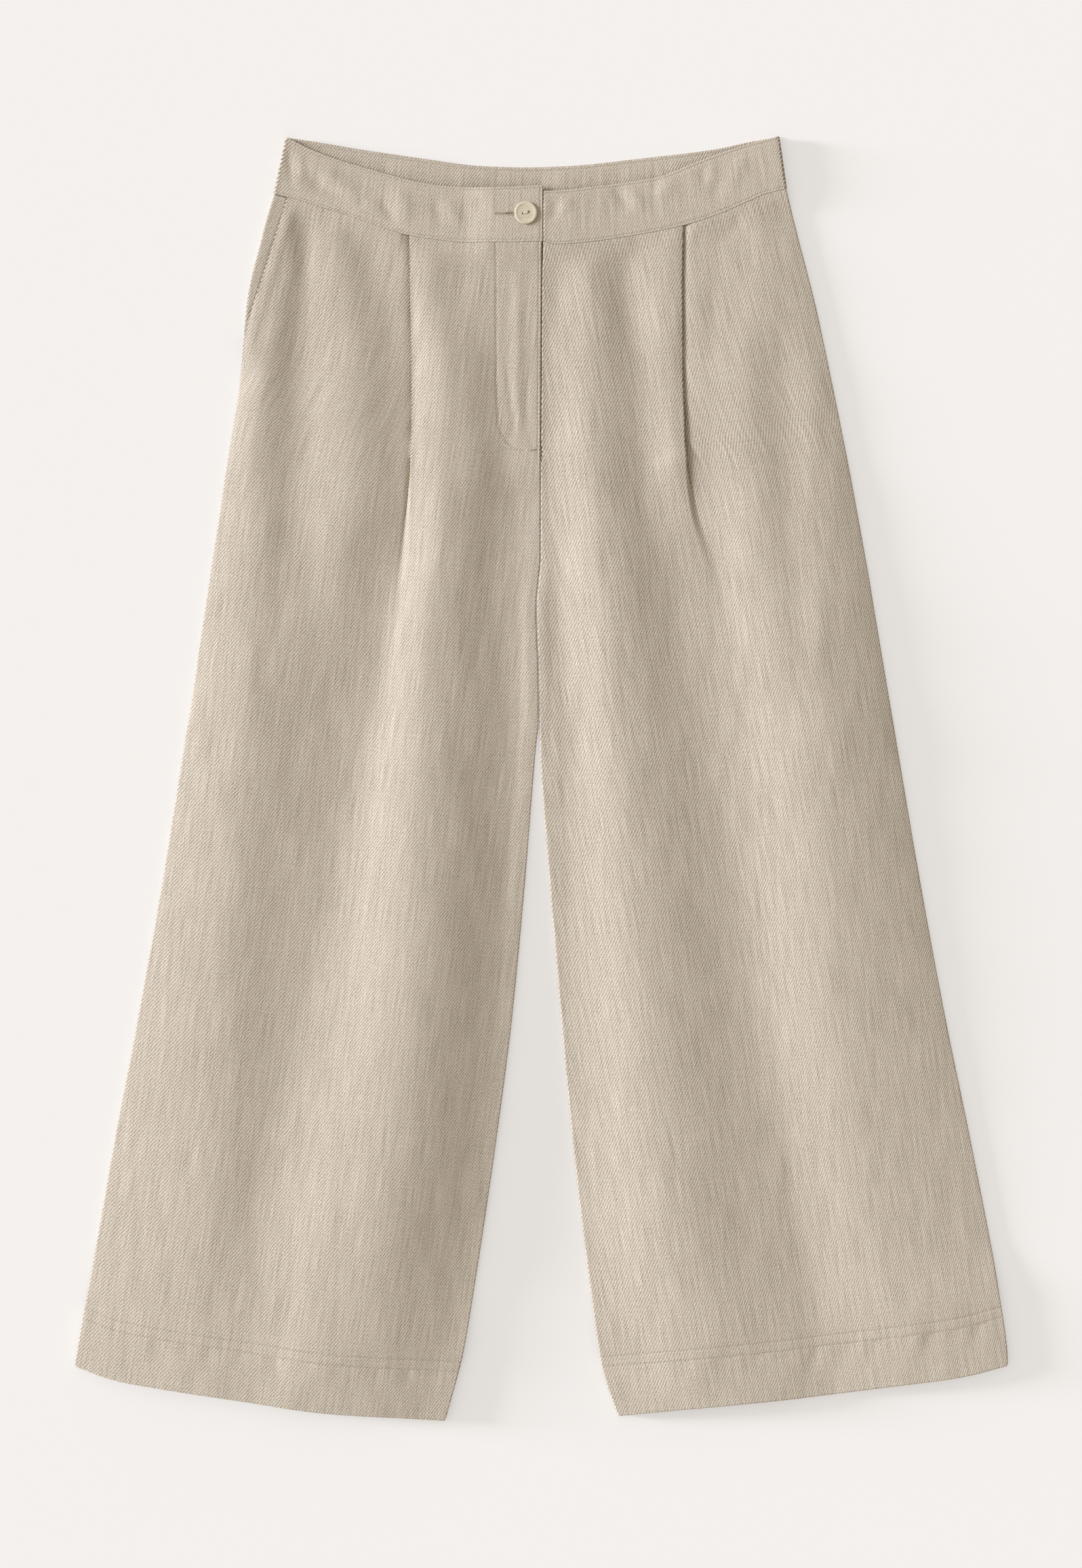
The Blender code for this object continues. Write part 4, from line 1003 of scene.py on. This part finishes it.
# Diagonal pulls and low swells along the band
RIGHT_BAND_CREASES = rows_of(
    Crease, (182, 26, 122, 56, 6.0, -2.2), (176, 14, 118, 66, 8.0, 2.0),
    (120, 44, 104, 70, 4.0, -1.1), (108, 34, 96, 66, 6.0, 0.9), (70, 44, 58, 72, 5.0, 0.9),
    (80, 40, 72, 74, 5.0, -0.8), (186, 4, 184, 44, 3.0, -0.9), (178, 10, 176, 36, 3.5, 0.8),
    (48, 44, 40, 62, 4.0, -0.5), (134, 46, 130, 52, 2.5, -0.5),
)
LEFT_BAND_CREASES = rows_of(
    Crease, (12, 44, 8, 66, 4.0, -0.9), (20, 42, 16, 60, 4.0, 0.8), (50, 32, 68, 58, 4.5, -1.3),
    (62, 32, 78, 60, 5.0, 1.0), (82, 29, 87, 42, 3.5, -0.9), (94, 26, 90, 50, 6.0, 1.0),
    (118, 20, 120, 40, 4.0, -0.9), (150, 10, 138, 44, 6.0, 0.8), (130, 28, 126, 54, 6.0, -0.8),
)
BACK_BAND_CREASES = rows_of(
    Crease, (-120, 14, -112, 34, 6.0, -0.5), (-60, 18, -54, 44, 7.0, 0.6),
    (-30, 22, -38, 42, 5.0, -0.5), (10, 24, 22, 40, 6.0, 0.7), (52, 18, 62, 36, 6.0, -0.6),
    (104, 12, 96, 32, 7.0, 0.5), (-150, 8, -140, 24, 5.0, 0.4),
)
BAND_EDGE_STEPS = np.array([0, 0.2, 0.5, 0.9, 1.4, 1.9, 2.4, 2.9, 3.6, 4.6])
BAND_STEP = 1.5
BAND_ROLL_STEPS = CLOTH / 2 + BAND_ROLL_REACH * (1 - np.cos(np.radians(np.arange(0, 91, 15))))
BAND_ROLL_STEPS = np.concatenate([BAND_ROLL_STEPS, [1.7, 2.4, 3.6, 5.0]])
BAND_DEPTH = 40.8
BAND_SWELL = 0.35           # of its middle, above its edges
BAND_WEAR = 0.25
SLIT_START = 19.0           # behind the button's edge
SLIT_END = 26.3             # where the buttonhole is sewn shut
SLIT_TAPER = 3.5            # length over which it closes
SLIT_WIDTH = 0.55           # half of it, where it is open
SLIT_LINE = 57.4
SLIT_BELOW_TOP = 20.0
SLIT_CUT = 0.75             # of the cloth's faces, from each side
# Painted shade in the buttonhole's slit
SLIT_SHADE = 4.5
SLIT_STEPS = np.array([-1.6, -1.1, -0.8, -0.55, -0.3, 0, 0.3, 0.55, 0.8, 1.1, 1.6])


def merged(*steps):
    """All the steps in order, without any that lie closer together than a tenth."""
    ordered = np.sort(np.concatenate(steps))
    return ordered[np.concatenate([[True], np.diff(ordered) > 0.1])]


def slit_half(out):
    """Half the width of the buttonhole's slit."""
    return SLIT_WIDTH * np.clip((SLIT_END - out) / SLIT_TAPER, 0, 1) ** 0.6


def band(name, side, top, seam, level, thickness, creases, climb=None, set_back=0.0,
         rolled=(0, 1), finer=(), slit=False, shade=None):
    """A strip of band between its top edge and its seam. Its middle is at a level and climbs
    from there. The rolled ends bend down at the side. Finer gives extra columns, and shade how
    dark it is beside what lies on it."""
    top_line, seam_line = curve(top, "down"), curve(seam, "down")
    length = seam[-1].out - seam[0].out
    ends = [BAND_ROLL_STEPS if bent else BAND_EDGE_STEPS for bent in rolled]
    even = np.arange(6.4, length - 6.4, BAND_STEP)
    across = merged(ends[0], even, finer, length - ends[1])
    even = np.arange(6, BAND_DEPTH - 6, BAND_STEP)
    beside_slit = SLIT_BELOW_TOP + SLIT_STEPS if slit else ()
    below_top = merged(BAND_EDGE_STEPS, even, beside_slit, BAND_DEPTH - BAND_EDGE_STEPS)[:, None]
    share = across / length
    top_out = top[0].out + (top[-1].out - top[0].out) * share
    seam_out = seam[0].out + length * share
    first = top_line(top_out) + set_back
    part = below_top / BAND_DEPTH
    out = top_out + part * (seam_out - top_out)
    down = first + part * (seam_line(seam_out) - SEAM_GAP - first)
    above_seam = BAND_DEPTH - below_top
    z = level + (climb(out) if climb else 0)
    z = z + crease_height(creases, out, down) * np.sin(math.pi * part) ** 0.5
    z = z + BAND_SWELL * ease(below_top / 12) * ease(above_seam / 12)
    groove = ridge(below_top - BAND_STITCHES, 0.5) + ridge(above_seam - BAND_STITCHES, 0.5)
    taper = rim_taper(np.minimum(below_top, above_seam) + 0.04, 0.6, 0.7)
    # The weave is paler on rubbed edges, and has shade painted in its grooves, at its bent ends, in
    # the slit and beside what lies on it
    wear = BAND_WEAR + RUBBED * (fading(below_top, 1.0) + fading(above_seam, 1.2))
    for steps, bent in zip((across, length - across), rolled):
        taper = taper * rim_taper(steps + 0.04, 0.6 if bent else 0.7, 0.5)
        if bent:
            near = np.clip(1 - (steps - CLOTH / 2) / BAND_ROLL_REACH, 0, 1)
            z = z - BAND_ROLL * (1 - np.sqrt(1 - near ** 2))
            wear = wear - BAND_END_SHADE * fading(steps - CLOTH / 2, 1.1)
        else:
            groove = groove + ridge(steps - BAND_STITCHES, 0.5)
            wear = wear + RUBBED * fading(steps, 1.0)
    cut = 0 * out
    if slit:
        cut = ease((slit_half(out) - np.abs(down - SLIT_LINE)) / 0.3 + 0.5)
        cut = cut * (out < SLIT_END) * (out > 3)
    wear = wear - GROOVE_SHADE * groove - SLIT_SHADE * cut
    if shade:
        wear = wear - shade(out, down)
    thinner = 2 * (SLIT_CUT * cut + GROOVE_DEPTH * groove)
    cloth = Cloth(out, down, z, thickness * taper - thinner, 0 * out, wear + 0 * out)
    along = side * (seam[0].out + across) + 0 * out
    return shell(name, side, cloth, (along, -below_top + 0 * out))


def opening_shade(out, down):
    """How dark the inside of the waist is beside the front's edge."""
    right_top, left_top = curve(RIGHT_BAND_TOP, "down"), curve(LEFT_BAND_TOP, "down")
    edge = np.where(out < 0, right_top(-out), left_top(out))
    return OPENING_SHADE * fading(edge - down, OPENING_REACH)


band_back = band("waistband_back", 1, BACK_BAND_TOP, BACK_SEAM, CLOTH / 2, CLOTH, (),
                 rolled=(0, 0))
band_inside = band("waistband_back_inside", 1, BACK_BAND_TOP, BACK_SEAM, CLOTH / 2 + LAYER, CLOTH,
                   BACK_BAND_CREASES, set_back=FACING_SET_BACK, rolled=(0, 0), shade=opening_shade)
left_finer = BAND_UNDERLAP + RIGHT_BAND_END + np.array([0, 0.25, 0.5, 0.75, 1, 1.4, 2, 3])
band_left = band("waistband_left", 1, LEFT_BAND_TOP, LEFT_SEAM, BAND_REST, BAND_CLOTH,
                 LEFT_BAND_CREASES, left_band_climb, finer=left_finer,
                 shade=lambda out, down: beside_shade(out - RIGHT_BAND_END))
right_finer = np.arange(SLIT_START, SLIT_END + 10, 0.4)
band_right = band("waistband_right", -1, RIGHT_BAND_TOP, RIGHT_SEAM, BAND_REST, BAND_CLOTH,
                  RIGHT_BAND_CREASES, right_band_climb, finer=right_finer, slit=True)
sew_in(band_back, "band_back")
sew_in(band_inside, "band_back_facing")
sew_in(band_left, "band_front_left")
sew_in(band_right, "band_front_right")

# ----------------------------------------------------------------------------------- Stitches
# Linen-coloured thread: two rows round each hem, a row along the edges of the band and the fly,
# the J-shaped row that holds the fly facing, and bar tacks at the ends of the fly and the pocket.
THREAD = 0.15           # radius
STITCH_PITCH = 2.9
STITCH_LENGTH = 2.35
EDGE_STITCH = (2.6, 2.1)    # the same of the rows along edges
FLY_STITCHES_TOP = 81
BAND_END = -0.85        # the right half's end, and its row of stitches from the top to the seam
BAND_END_STITCHES = (39, 76)
STRAND_POINTS = 9
STRAND_SIDES = 6
THREAD_COLOUR = (0.53, 0.465, 0.38)


def thread_material(name, colour):
    """Twisted linen thread, a little paler than the cloth."""
    material, tree, shader = new_material(name)
    weave = Value(tree).node("ShaderNodeAttribute", {"attribute_name": "weave"}, {}, "Vector")
    along, round_it, _ = weave.parts()
    ply = weave.maths("COSINE", (along * 1.9 + round_it) * math.tau)
    fuzz = weave.noise(2.2)
    feed(tree, shader, {
        "Base Color": (0.5 + ply * 0.2 + fuzz * 0.9).blend(*shades(colour, 0.66, 1.22)),
        "Roughness": 0.66 + fuzz * 0.2,
        "Normal": ply.node("ShaderNodeBump", {}, {"Height": ply, "Distance": 0.00004}),
        "Sheen Weight": 0.15})
    return material


def tube_faces(tubes, rings, sides):
    """Faces of closed tubes whose points lie in rings."""
    index = np.arange(tubes * rings * sides).reshape(tubes, rings, sides)
    turned = np.roll(index, -1, axis=2)
    quads = np.stack([index[:, :-1], turned[:, :-1], turned[:, 1:], index[:, 1:]], axis=-1)
    return quads.reshape(-1, 4).tolist() + index[:, 0, ::-1].tolist() + index[:, -1].tolist()


def strands(name, routes, radius, material):
    """Lengths of thread along routes of points in mm, all in one piece."""
    routes = np.asarray(routes, float)
    tangent = np.gradient(routes, axis=1)
    tangent /= np.linalg.norm(tangent, axis=-1, keepdims=True)
    chord = routes[:, -1] - routes[:, 0]
    aside = np.stack([-chord[:, 1], chord[:, 0], 0 * chord[:, 0]], axis=-1)
    aside /= np.linalg.norm(aside, axis=-1, keepdims=True)
    aside = np.repeat(aside[:, None], routes.shape[1], axis=1)
    upward = np.cross(tangent, aside)
    share = np.linspace(-1, 1, routes.shape[1])
    girth = radius * np.maximum(1 - share ** 6, 0.25)[None, :, None, None]
    angle = np.linspace(0, math.tau, STRAND_SIDES, endpoint=False)[None, None, :, None]
    points = routes[:, :, None] + girth * (aside[:, :, None] * np.cos(angle)
                                           + upward[:, :, None] * np.sin(angle))
    length = np.linalg.norm(np.diff(routes, axis=1), axis=-1)
    along = np.concatenate([0 * length[:, :1], np.cumsum(length, 1)], axis=1)
    marks = np.zeros(points.shape)
    marks[..., 0] = along[..., None]
    marks[..., 1] = angle[..., 0] / math.tau
    piece = add_piece(name, points, tube_faces(*points.shape[:3]), marks, material)
    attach(piece, "root")


def surface_of(piece):
    """A function that drops plan points, in mm, on the top of a piece."""
    mesh = piece.data
    tree = BVHTree.FromPolygons([v.co for v in mesh.vertices],
                                [p.vertices for p in mesh.polygons])

    def drop(x, y):
        hit = tree.ray_cast(Vector((x * MM, y * MM, 0.1)), Vector((0, 0, -1)))[0]
        return None if hit is None else np.array(hit) / MM

    return drop


def stitch_route(start, end, bulge=0.07, sink=0.2):
    """One stitch between two points of the surface, which dips into the cloth at both ends."""
    share = np.linspace(0, 1, STRAND_POINTS)[:, None]
    arch = np.sqrt(np.clip(1 - (2 * share - 1) ** 4, 0, 1))
    lift = -sink + (sink + bulge) * arch
    return start + (end - start) * share + lift * np.array([[0, 0, 1]])


def stitch_routes(drop, path, pitch=STITCH_PITCH, length=STITCH_LENGTH):
    """Stitches along a path of (x, y) points in mm."""
    path = np.asarray(path, float)
    steps = np.hypot(*np.diff(path, axis=0).T)
    run = np.concatenate([[0], np.cumsum(steps)])
    routes = []
    for middle in np.arange(pitch / 2, run[-1], pitch):
        ends = [drop(np.interp(middle + way * length / 2, run, path[:, 0]),
                     np.interp(middle + way * length / 2, run, path[:, 1])) for way in (-1, 1)]
        if ends[0] is not None and ends[1] is not None and abs(ends[0][2] - ends[1][2]) < 1.5:
            routes.append(stitch_route(*ends))
    return routes


def plan(side, out, down):
    """Plan points in mm of places on the garment."""
    return np.stack([side * np.asarray(out), LENGTH / 2 - np.asarray(down)], axis=-1)


thread = thread_material("sewing_thread", THREAD_COLOUR)
tops = {piece.name: surface_of(piece) for piece in (front_leg_right, front_leg_left, band_right,
                                                    band_left, band_inside)}
for name, front in (("right", right_front), ("left", left_front)):
    routes = []
    for above in HEM_STITCHES:
        rows = Rows(np.array([[0.0]]), np.array([[above]]), np.array([[1.0]]))
        width = front.width(front.down_at(0.5, rows))
        out, down = front.place(np.linspace(2, width[0, 0] - 2, 160), width, rows)
        routes += stitch_routes(tops["front_leg_" + name], plan(front.leg.side, out[0], down[0]))
    strands("hem_stitches_" + name, routes, THREAD, thread)

EdgeRun = namedtuple("EdgeRun", "name piece side edge inset start end")
EDGE_RUNS = rows_of(
    EdgeRun,
    ("top_stitches_right", "waistband_right", -1, RIGHT_BAND_TOP, BAND_STITCHES, 2, 185),
    ("seam_stitches_right", "waistband_right", -1, RIGHT_SEAM, -BAND_STITCHES - SEAM_GAP, 2, 193),
    ("top_stitches_left", "waistband_left", 1, LEFT_BAND_TOP, BAND_STITCHES, 2, 172),
    ("seam_stitches_left", "waistband_left", 1, LEFT_SEAM, -BAND_STITCHES - SEAM_GAP, 2, 177),
    ("back_stitches", "waistband_back_inside", 1, BACK_BAND_TOP, BAND_STITCHES + FACING_SET_BACK,
     -183, 170),
)
for run in EDGE_RUNS:
    out = np.arange(run.start, run.end, 1.0)
    path = plan(run.side, out, curve(run.edge, "down")(out) + run.inset)
    routes = stitch_routes(tops[run.piece], path, *EDGE_STITCH)
    strands("band_" + run.name, routes, THREAD * 0.9, thread)

down = np.arange(FLY_STITCHES_TOP, FLY_END, 1.0)
fly_path = plan(-1, RIGHT.inner(down) + EDGE_GROOVE, down)
routes = stitch_routes(tops["front_leg_right"], fly_path, *EDGE_STITCH)
down = np.arange(*BAND_END_STITCHES, 1.0)
band_path = plan(-1, BAND_END + BAND_STITCHES + 0 * down, down)
routes += stitch_routes(tops["waistband_right"], band_path, *EDGE_STITCH)
routes += stitch_routes(tops["front_leg_right"], plan(-1, *np.transpose(J_STITCH)))
strands("fly_stitches", routes, THREAD, thread)

BarTack = namedtuple("BarTack", "out down to_out to_down")
BAR_TACKS = rows_of(BarTack, (10.0, 231.6, 3.6, 231.2), (201.5, 86.6, 196.4, 87.2))
routes = []
for tack in BAR_TACKS:
    for shift in (-0.35, 0.0, 0.35):
        ends = [tops["front_leg_right"](*plan(-1, out, down + shift))
                for out, down in ((tack.out, tack.down), (tack.to_out, tack.to_down))]
        if all(end is not None for end in ends):
            routes.append(stitch_route(*ends, bulge=0.3))
strands("bar_tacks", routes, THREAD, thread)

# The buttonhole's close stitches, over both lips of the slit and on past its end
BUTTONHOLE_START = SLIT_START - 3
BUTTONHOLE_END = SLIT_END + 8.5
BUTTONHOLE_PITCH = 0.42
BUTTONHOLE_LIP = 0.25       # from the slit to its stitches
BUTTONHOLE_THREAD = 0.16
BUTTONHOLE_COLOUR = (0.56, 0.46, 0.33)
buttonhole_thread = thread_material("buttonhole_thread", BUTTONHOLE_COLOUR)
routes = []
for out in np.arange(BUTTONHOLE_START, BUTTONHOLE_END, BUTTONHOLE_PITCH):
    lip = BUTTONHOLE_LIP + slit_half(out) if out < SLIT_END else 0.0
    for way in (-1, 1):
        skew = 0.12 * math.sin(9 * out)
        ends = [tops["waistband_right"](*plan(-1, out + skew, SLIT_LINE + way * (lip + reach)))
                for reach in (0.1, 0.85 + skew)]
        routes.append(stitch_route(*ends, bulge=0.15))
strands("buttonhole_stitches", routes, BUTTONHOLE_THREAD, buttonhole_thread)

# ------------------------------------------------------------------------------------- Button
# A pale two-hole button turned from horn, with a rounded rim and a dished face, sewn on the
# left half of the band and pushed through the buttonhole of the right half.
BUTTON_OUT = 11.4
BUTTON_DOWN = 57.0
BUTTON_HOLE_RADIUS = 0.95
BUTTON_HOLE_OFFSET = (1.9, 0.55, 0)
BUTTON_FACE = 1.56      # height of its middle
HORN = (0.635, 0.55, 0.41)
RADII_AND_HEIGHTS = (
    (0.0, 0.0), (6.8, 0.0), (7.7, 0.2), (8.25, 0.55), (8.48, 1.0), (8.45, 1.35), (8.3, 1.65),
    (8.0, 1.87), (7.6, 1.97), (7.2, 2.0), (6.9, 1.97), (6.6, 1.9), (6.3, 1.8), (5.9, 1.73),
    (4.8, 1.66), (3.2, 1.6), (1.6, 1.57), (0.0, BUTTON_FACE),
)
BUTTON_STEPS = 72
BUTTON_THREAD = 0.27
BUTTON_THREAD_COLOUR = (0.74, 0.66, 0.50)


def horn_material(name):
    """Polished pale horn with faint streaks, clouds and fine specks."""
    material, tree, shader = new_material(name)
    place = Value(tree).node("ShaderNodeTexCoord", {}, {}, "Object")
    streaks = place.vector("MULTIPLY", (260.0, 900.0, 400.0)).noise(1.0, 3.0)
    clouds = place.noise(330.0, 3.0)
    specks = place.noise(2600.0)
    tone = 0.5 + streaks * 0.8 + clouds * 0.9 + specks * 0.2
    relief = {"Height": specks + clouds, "Distance": 0.00003}
    feed(tree, shader, {
        "Base Color": tone.blend(*shades(HORN, 0.80, 1.16)),
        "Roughness": 0.36 + clouds * 0.2 + specks * 0.1,
        "Normal": specks.node("ShaderNodeBump", {}, relief),
        "Subsurface Weight": 0.12, "Subsurface Radius": (0.001, 0.0008, 0.0005),
        "Coat Weight": 0.15})
    return material


button_level = BAND_REST + right_band_climb(BUTTON_OUT) + BAND_CLOTH / 2 + GAP + 0.1
button_place = np.array([-BUTTON_OUT, LENGTH / 2 - BUTTON_DOWN, button_level])
radius, height = np.array(RADII_AND_HEIGHTS[1:-1]).T[..., None]
angle = np.linspace(0, math.tau, BUTTON_STEPS, endpoint=False)
rings = np.stack([radius * np.cos(angle), radius * np.sin(angle), height + 0 * angle], axis=-1)
button = add_piece("horn_button", rings + button_place, tube_faces(1, *rings.shape[:2]))
angle = angle[::3]
circle = BUTTON_HOLE_RADIUS * np.stack([np.cos(angle), np.sin(angle), 0 * angle], axis=-1)
for way in (-1, 1):
    rim = button_place + way * np.array(BUTTON_HOLE_OFFSET) + circle
    drill = add_piece("drill", np.stack([rim - [0, 0, 2], rim + [0, 0, 6]]),
                      tube_faces(1, 2, len(rim)))
    drilled = button.modifiers.new("hole", "BOOLEAN")
    drilled.object = drill
    drilled.solver = "EXACT"
    graph = bpy.context.evaluated_depsgraph_get()
    mesh = bpy.data.meshes.new_from_object(button.evaluated_get(graph))
    button.modifiers.clear()
    button.data = mesh
    bpy.data.objects.remove(drill)
mesh.polygons.foreach_set("use_smooth", [True] * len(mesh.polygons))
mesh.set_sharp_from_angle(angle=math.radians(38))
mesh.materials.clear()
mesh.materials.append(horn_material("pale_horn"))
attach(button, "root")
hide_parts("button")

# Its thread comes up through one hole and goes down the other, four times over
share = np.linspace(-1, 1, 17)[:, None]
span = np.array(BUTTON_HOLE_OFFSET)
aside = np.array([-span[1], span[0], 0]) / np.linalg.norm(span)
height = BUTTON_FACE + 0.45 * np.clip(1 - (share * 1.4) ** 4, -3.2, 1)
route = button_place + np.clip(share * 1.5, -0.9, 0.9) * span + height * np.array([[0, 0, 1]])
strands("button_thread", [route + aside * shift for shift in (-0.5, -0.17, 0.17, 0.5)],
        BUTTON_THREAD, thread_material("button_thread", BUTTON_THREAD_COLOUR))

# ------------------------------------------------------------------------- Table and lighting
# A plain pale table that is lit a little from within, in an even pale room. A soft lamp at the
# left lights the garment, and a low wide one draws its soft shadow over the table.
TABLE_SIZE = 12.0
TABLE_COLOUR = (0.835, 0.829, 0.853)
TABLE_GLOW = 0.37
ROOM_LIGHT = 0.52
ROOM_LEAN = 0.3         # how much brighter the room is at the left than overhead
ROOM_COLOUR = (1.06, 1.0, 0.88, 1.0)
# "up" is a lamp's angle above the table and "around" that towards the waist, in degrees
Lamp = namedtuple("Lamp", "name strength colour width up around")
SOFT_LAMP = Lamp("soft_lamp", 3.9, (0.945, 1.0, 1.13), 26, 25, 13)
LOW_LAMP = Lamp("low_lamp", 5.5, (1.0, 1.0, 1.0), 9, 5.5, 7)


def far_lamp(kind, pieces):
    """A lamp far off at the left, which lights only some pieces."""
    light = bpy.data.lights.new(kind.name, "SUN")
    light.energy = kind.strength
    light.color = kind.colour
    light.angle = math.radians(kind.width)
    lamp = bpy.data.objects.new(kind.name, light)
    up, around = math.radians(kind.up), math.radians(kind.around)
    towards = Vector((-math.cos(around) * math.cos(up), math.sin(around) * math.cos(up),
                      math.sin(up)))
    lamp.rotation_mode = "QUATERNION"
    lamp.rotation_quaternion = towards.to_track_quat("Z", "Y")
    bpy.context.scene.collection.objects.link(lamp)
    lit = bpy.data.collections.new(kind.name + "_lights")
    for piece in pieces:
        lit.objects.link(piece)
    lamp.light_linking.receiver_collection = lit


garment = [piece for piece in bpy.context.scene.objects if piece.type == "MESH"]
paint, tree, shader = new_material("table_paint")
feed(tree, shader, {"Base Color": (*TABLE_COLOUR, 1.0), "Roughness": 0.9,
                    "Specular IOR Level": 0.1, "Emission Color": (*TABLE_COLOUR, 1.0),
                    "Emission Strength": TABLE_GLOW})
corners = np.array([(-1, -1, 0), (1, -1, 0), (1, 1, 0), (-1, 1, 0)]) * (TABLE_SIZE / 2 / MM)
table = add_piece("table", corners, [(0, 1, 2, 3)], material=paint)
far_lamp(SOFT_LAMP, garment)
far_lamp(LOW_LAMP, [table])

room = bpy.data.worlds.new("room")
room.use_nodes = True
tree = room.node_tree
across_room = Value(tree).node("ShaderNodeTexCoord", {}, {}, "Generated").parts()[0]
bright = (across_room * -ROOM_LEAN + 1.0) * ROOM_LIGHT
feed(tree, tree.nodes["Background"], {"Color": ROOM_COLOUR, "Strength": bright})
bpy.context.scene.world = room
bpy.context.scene.view_settings.view_transform = "Standard"
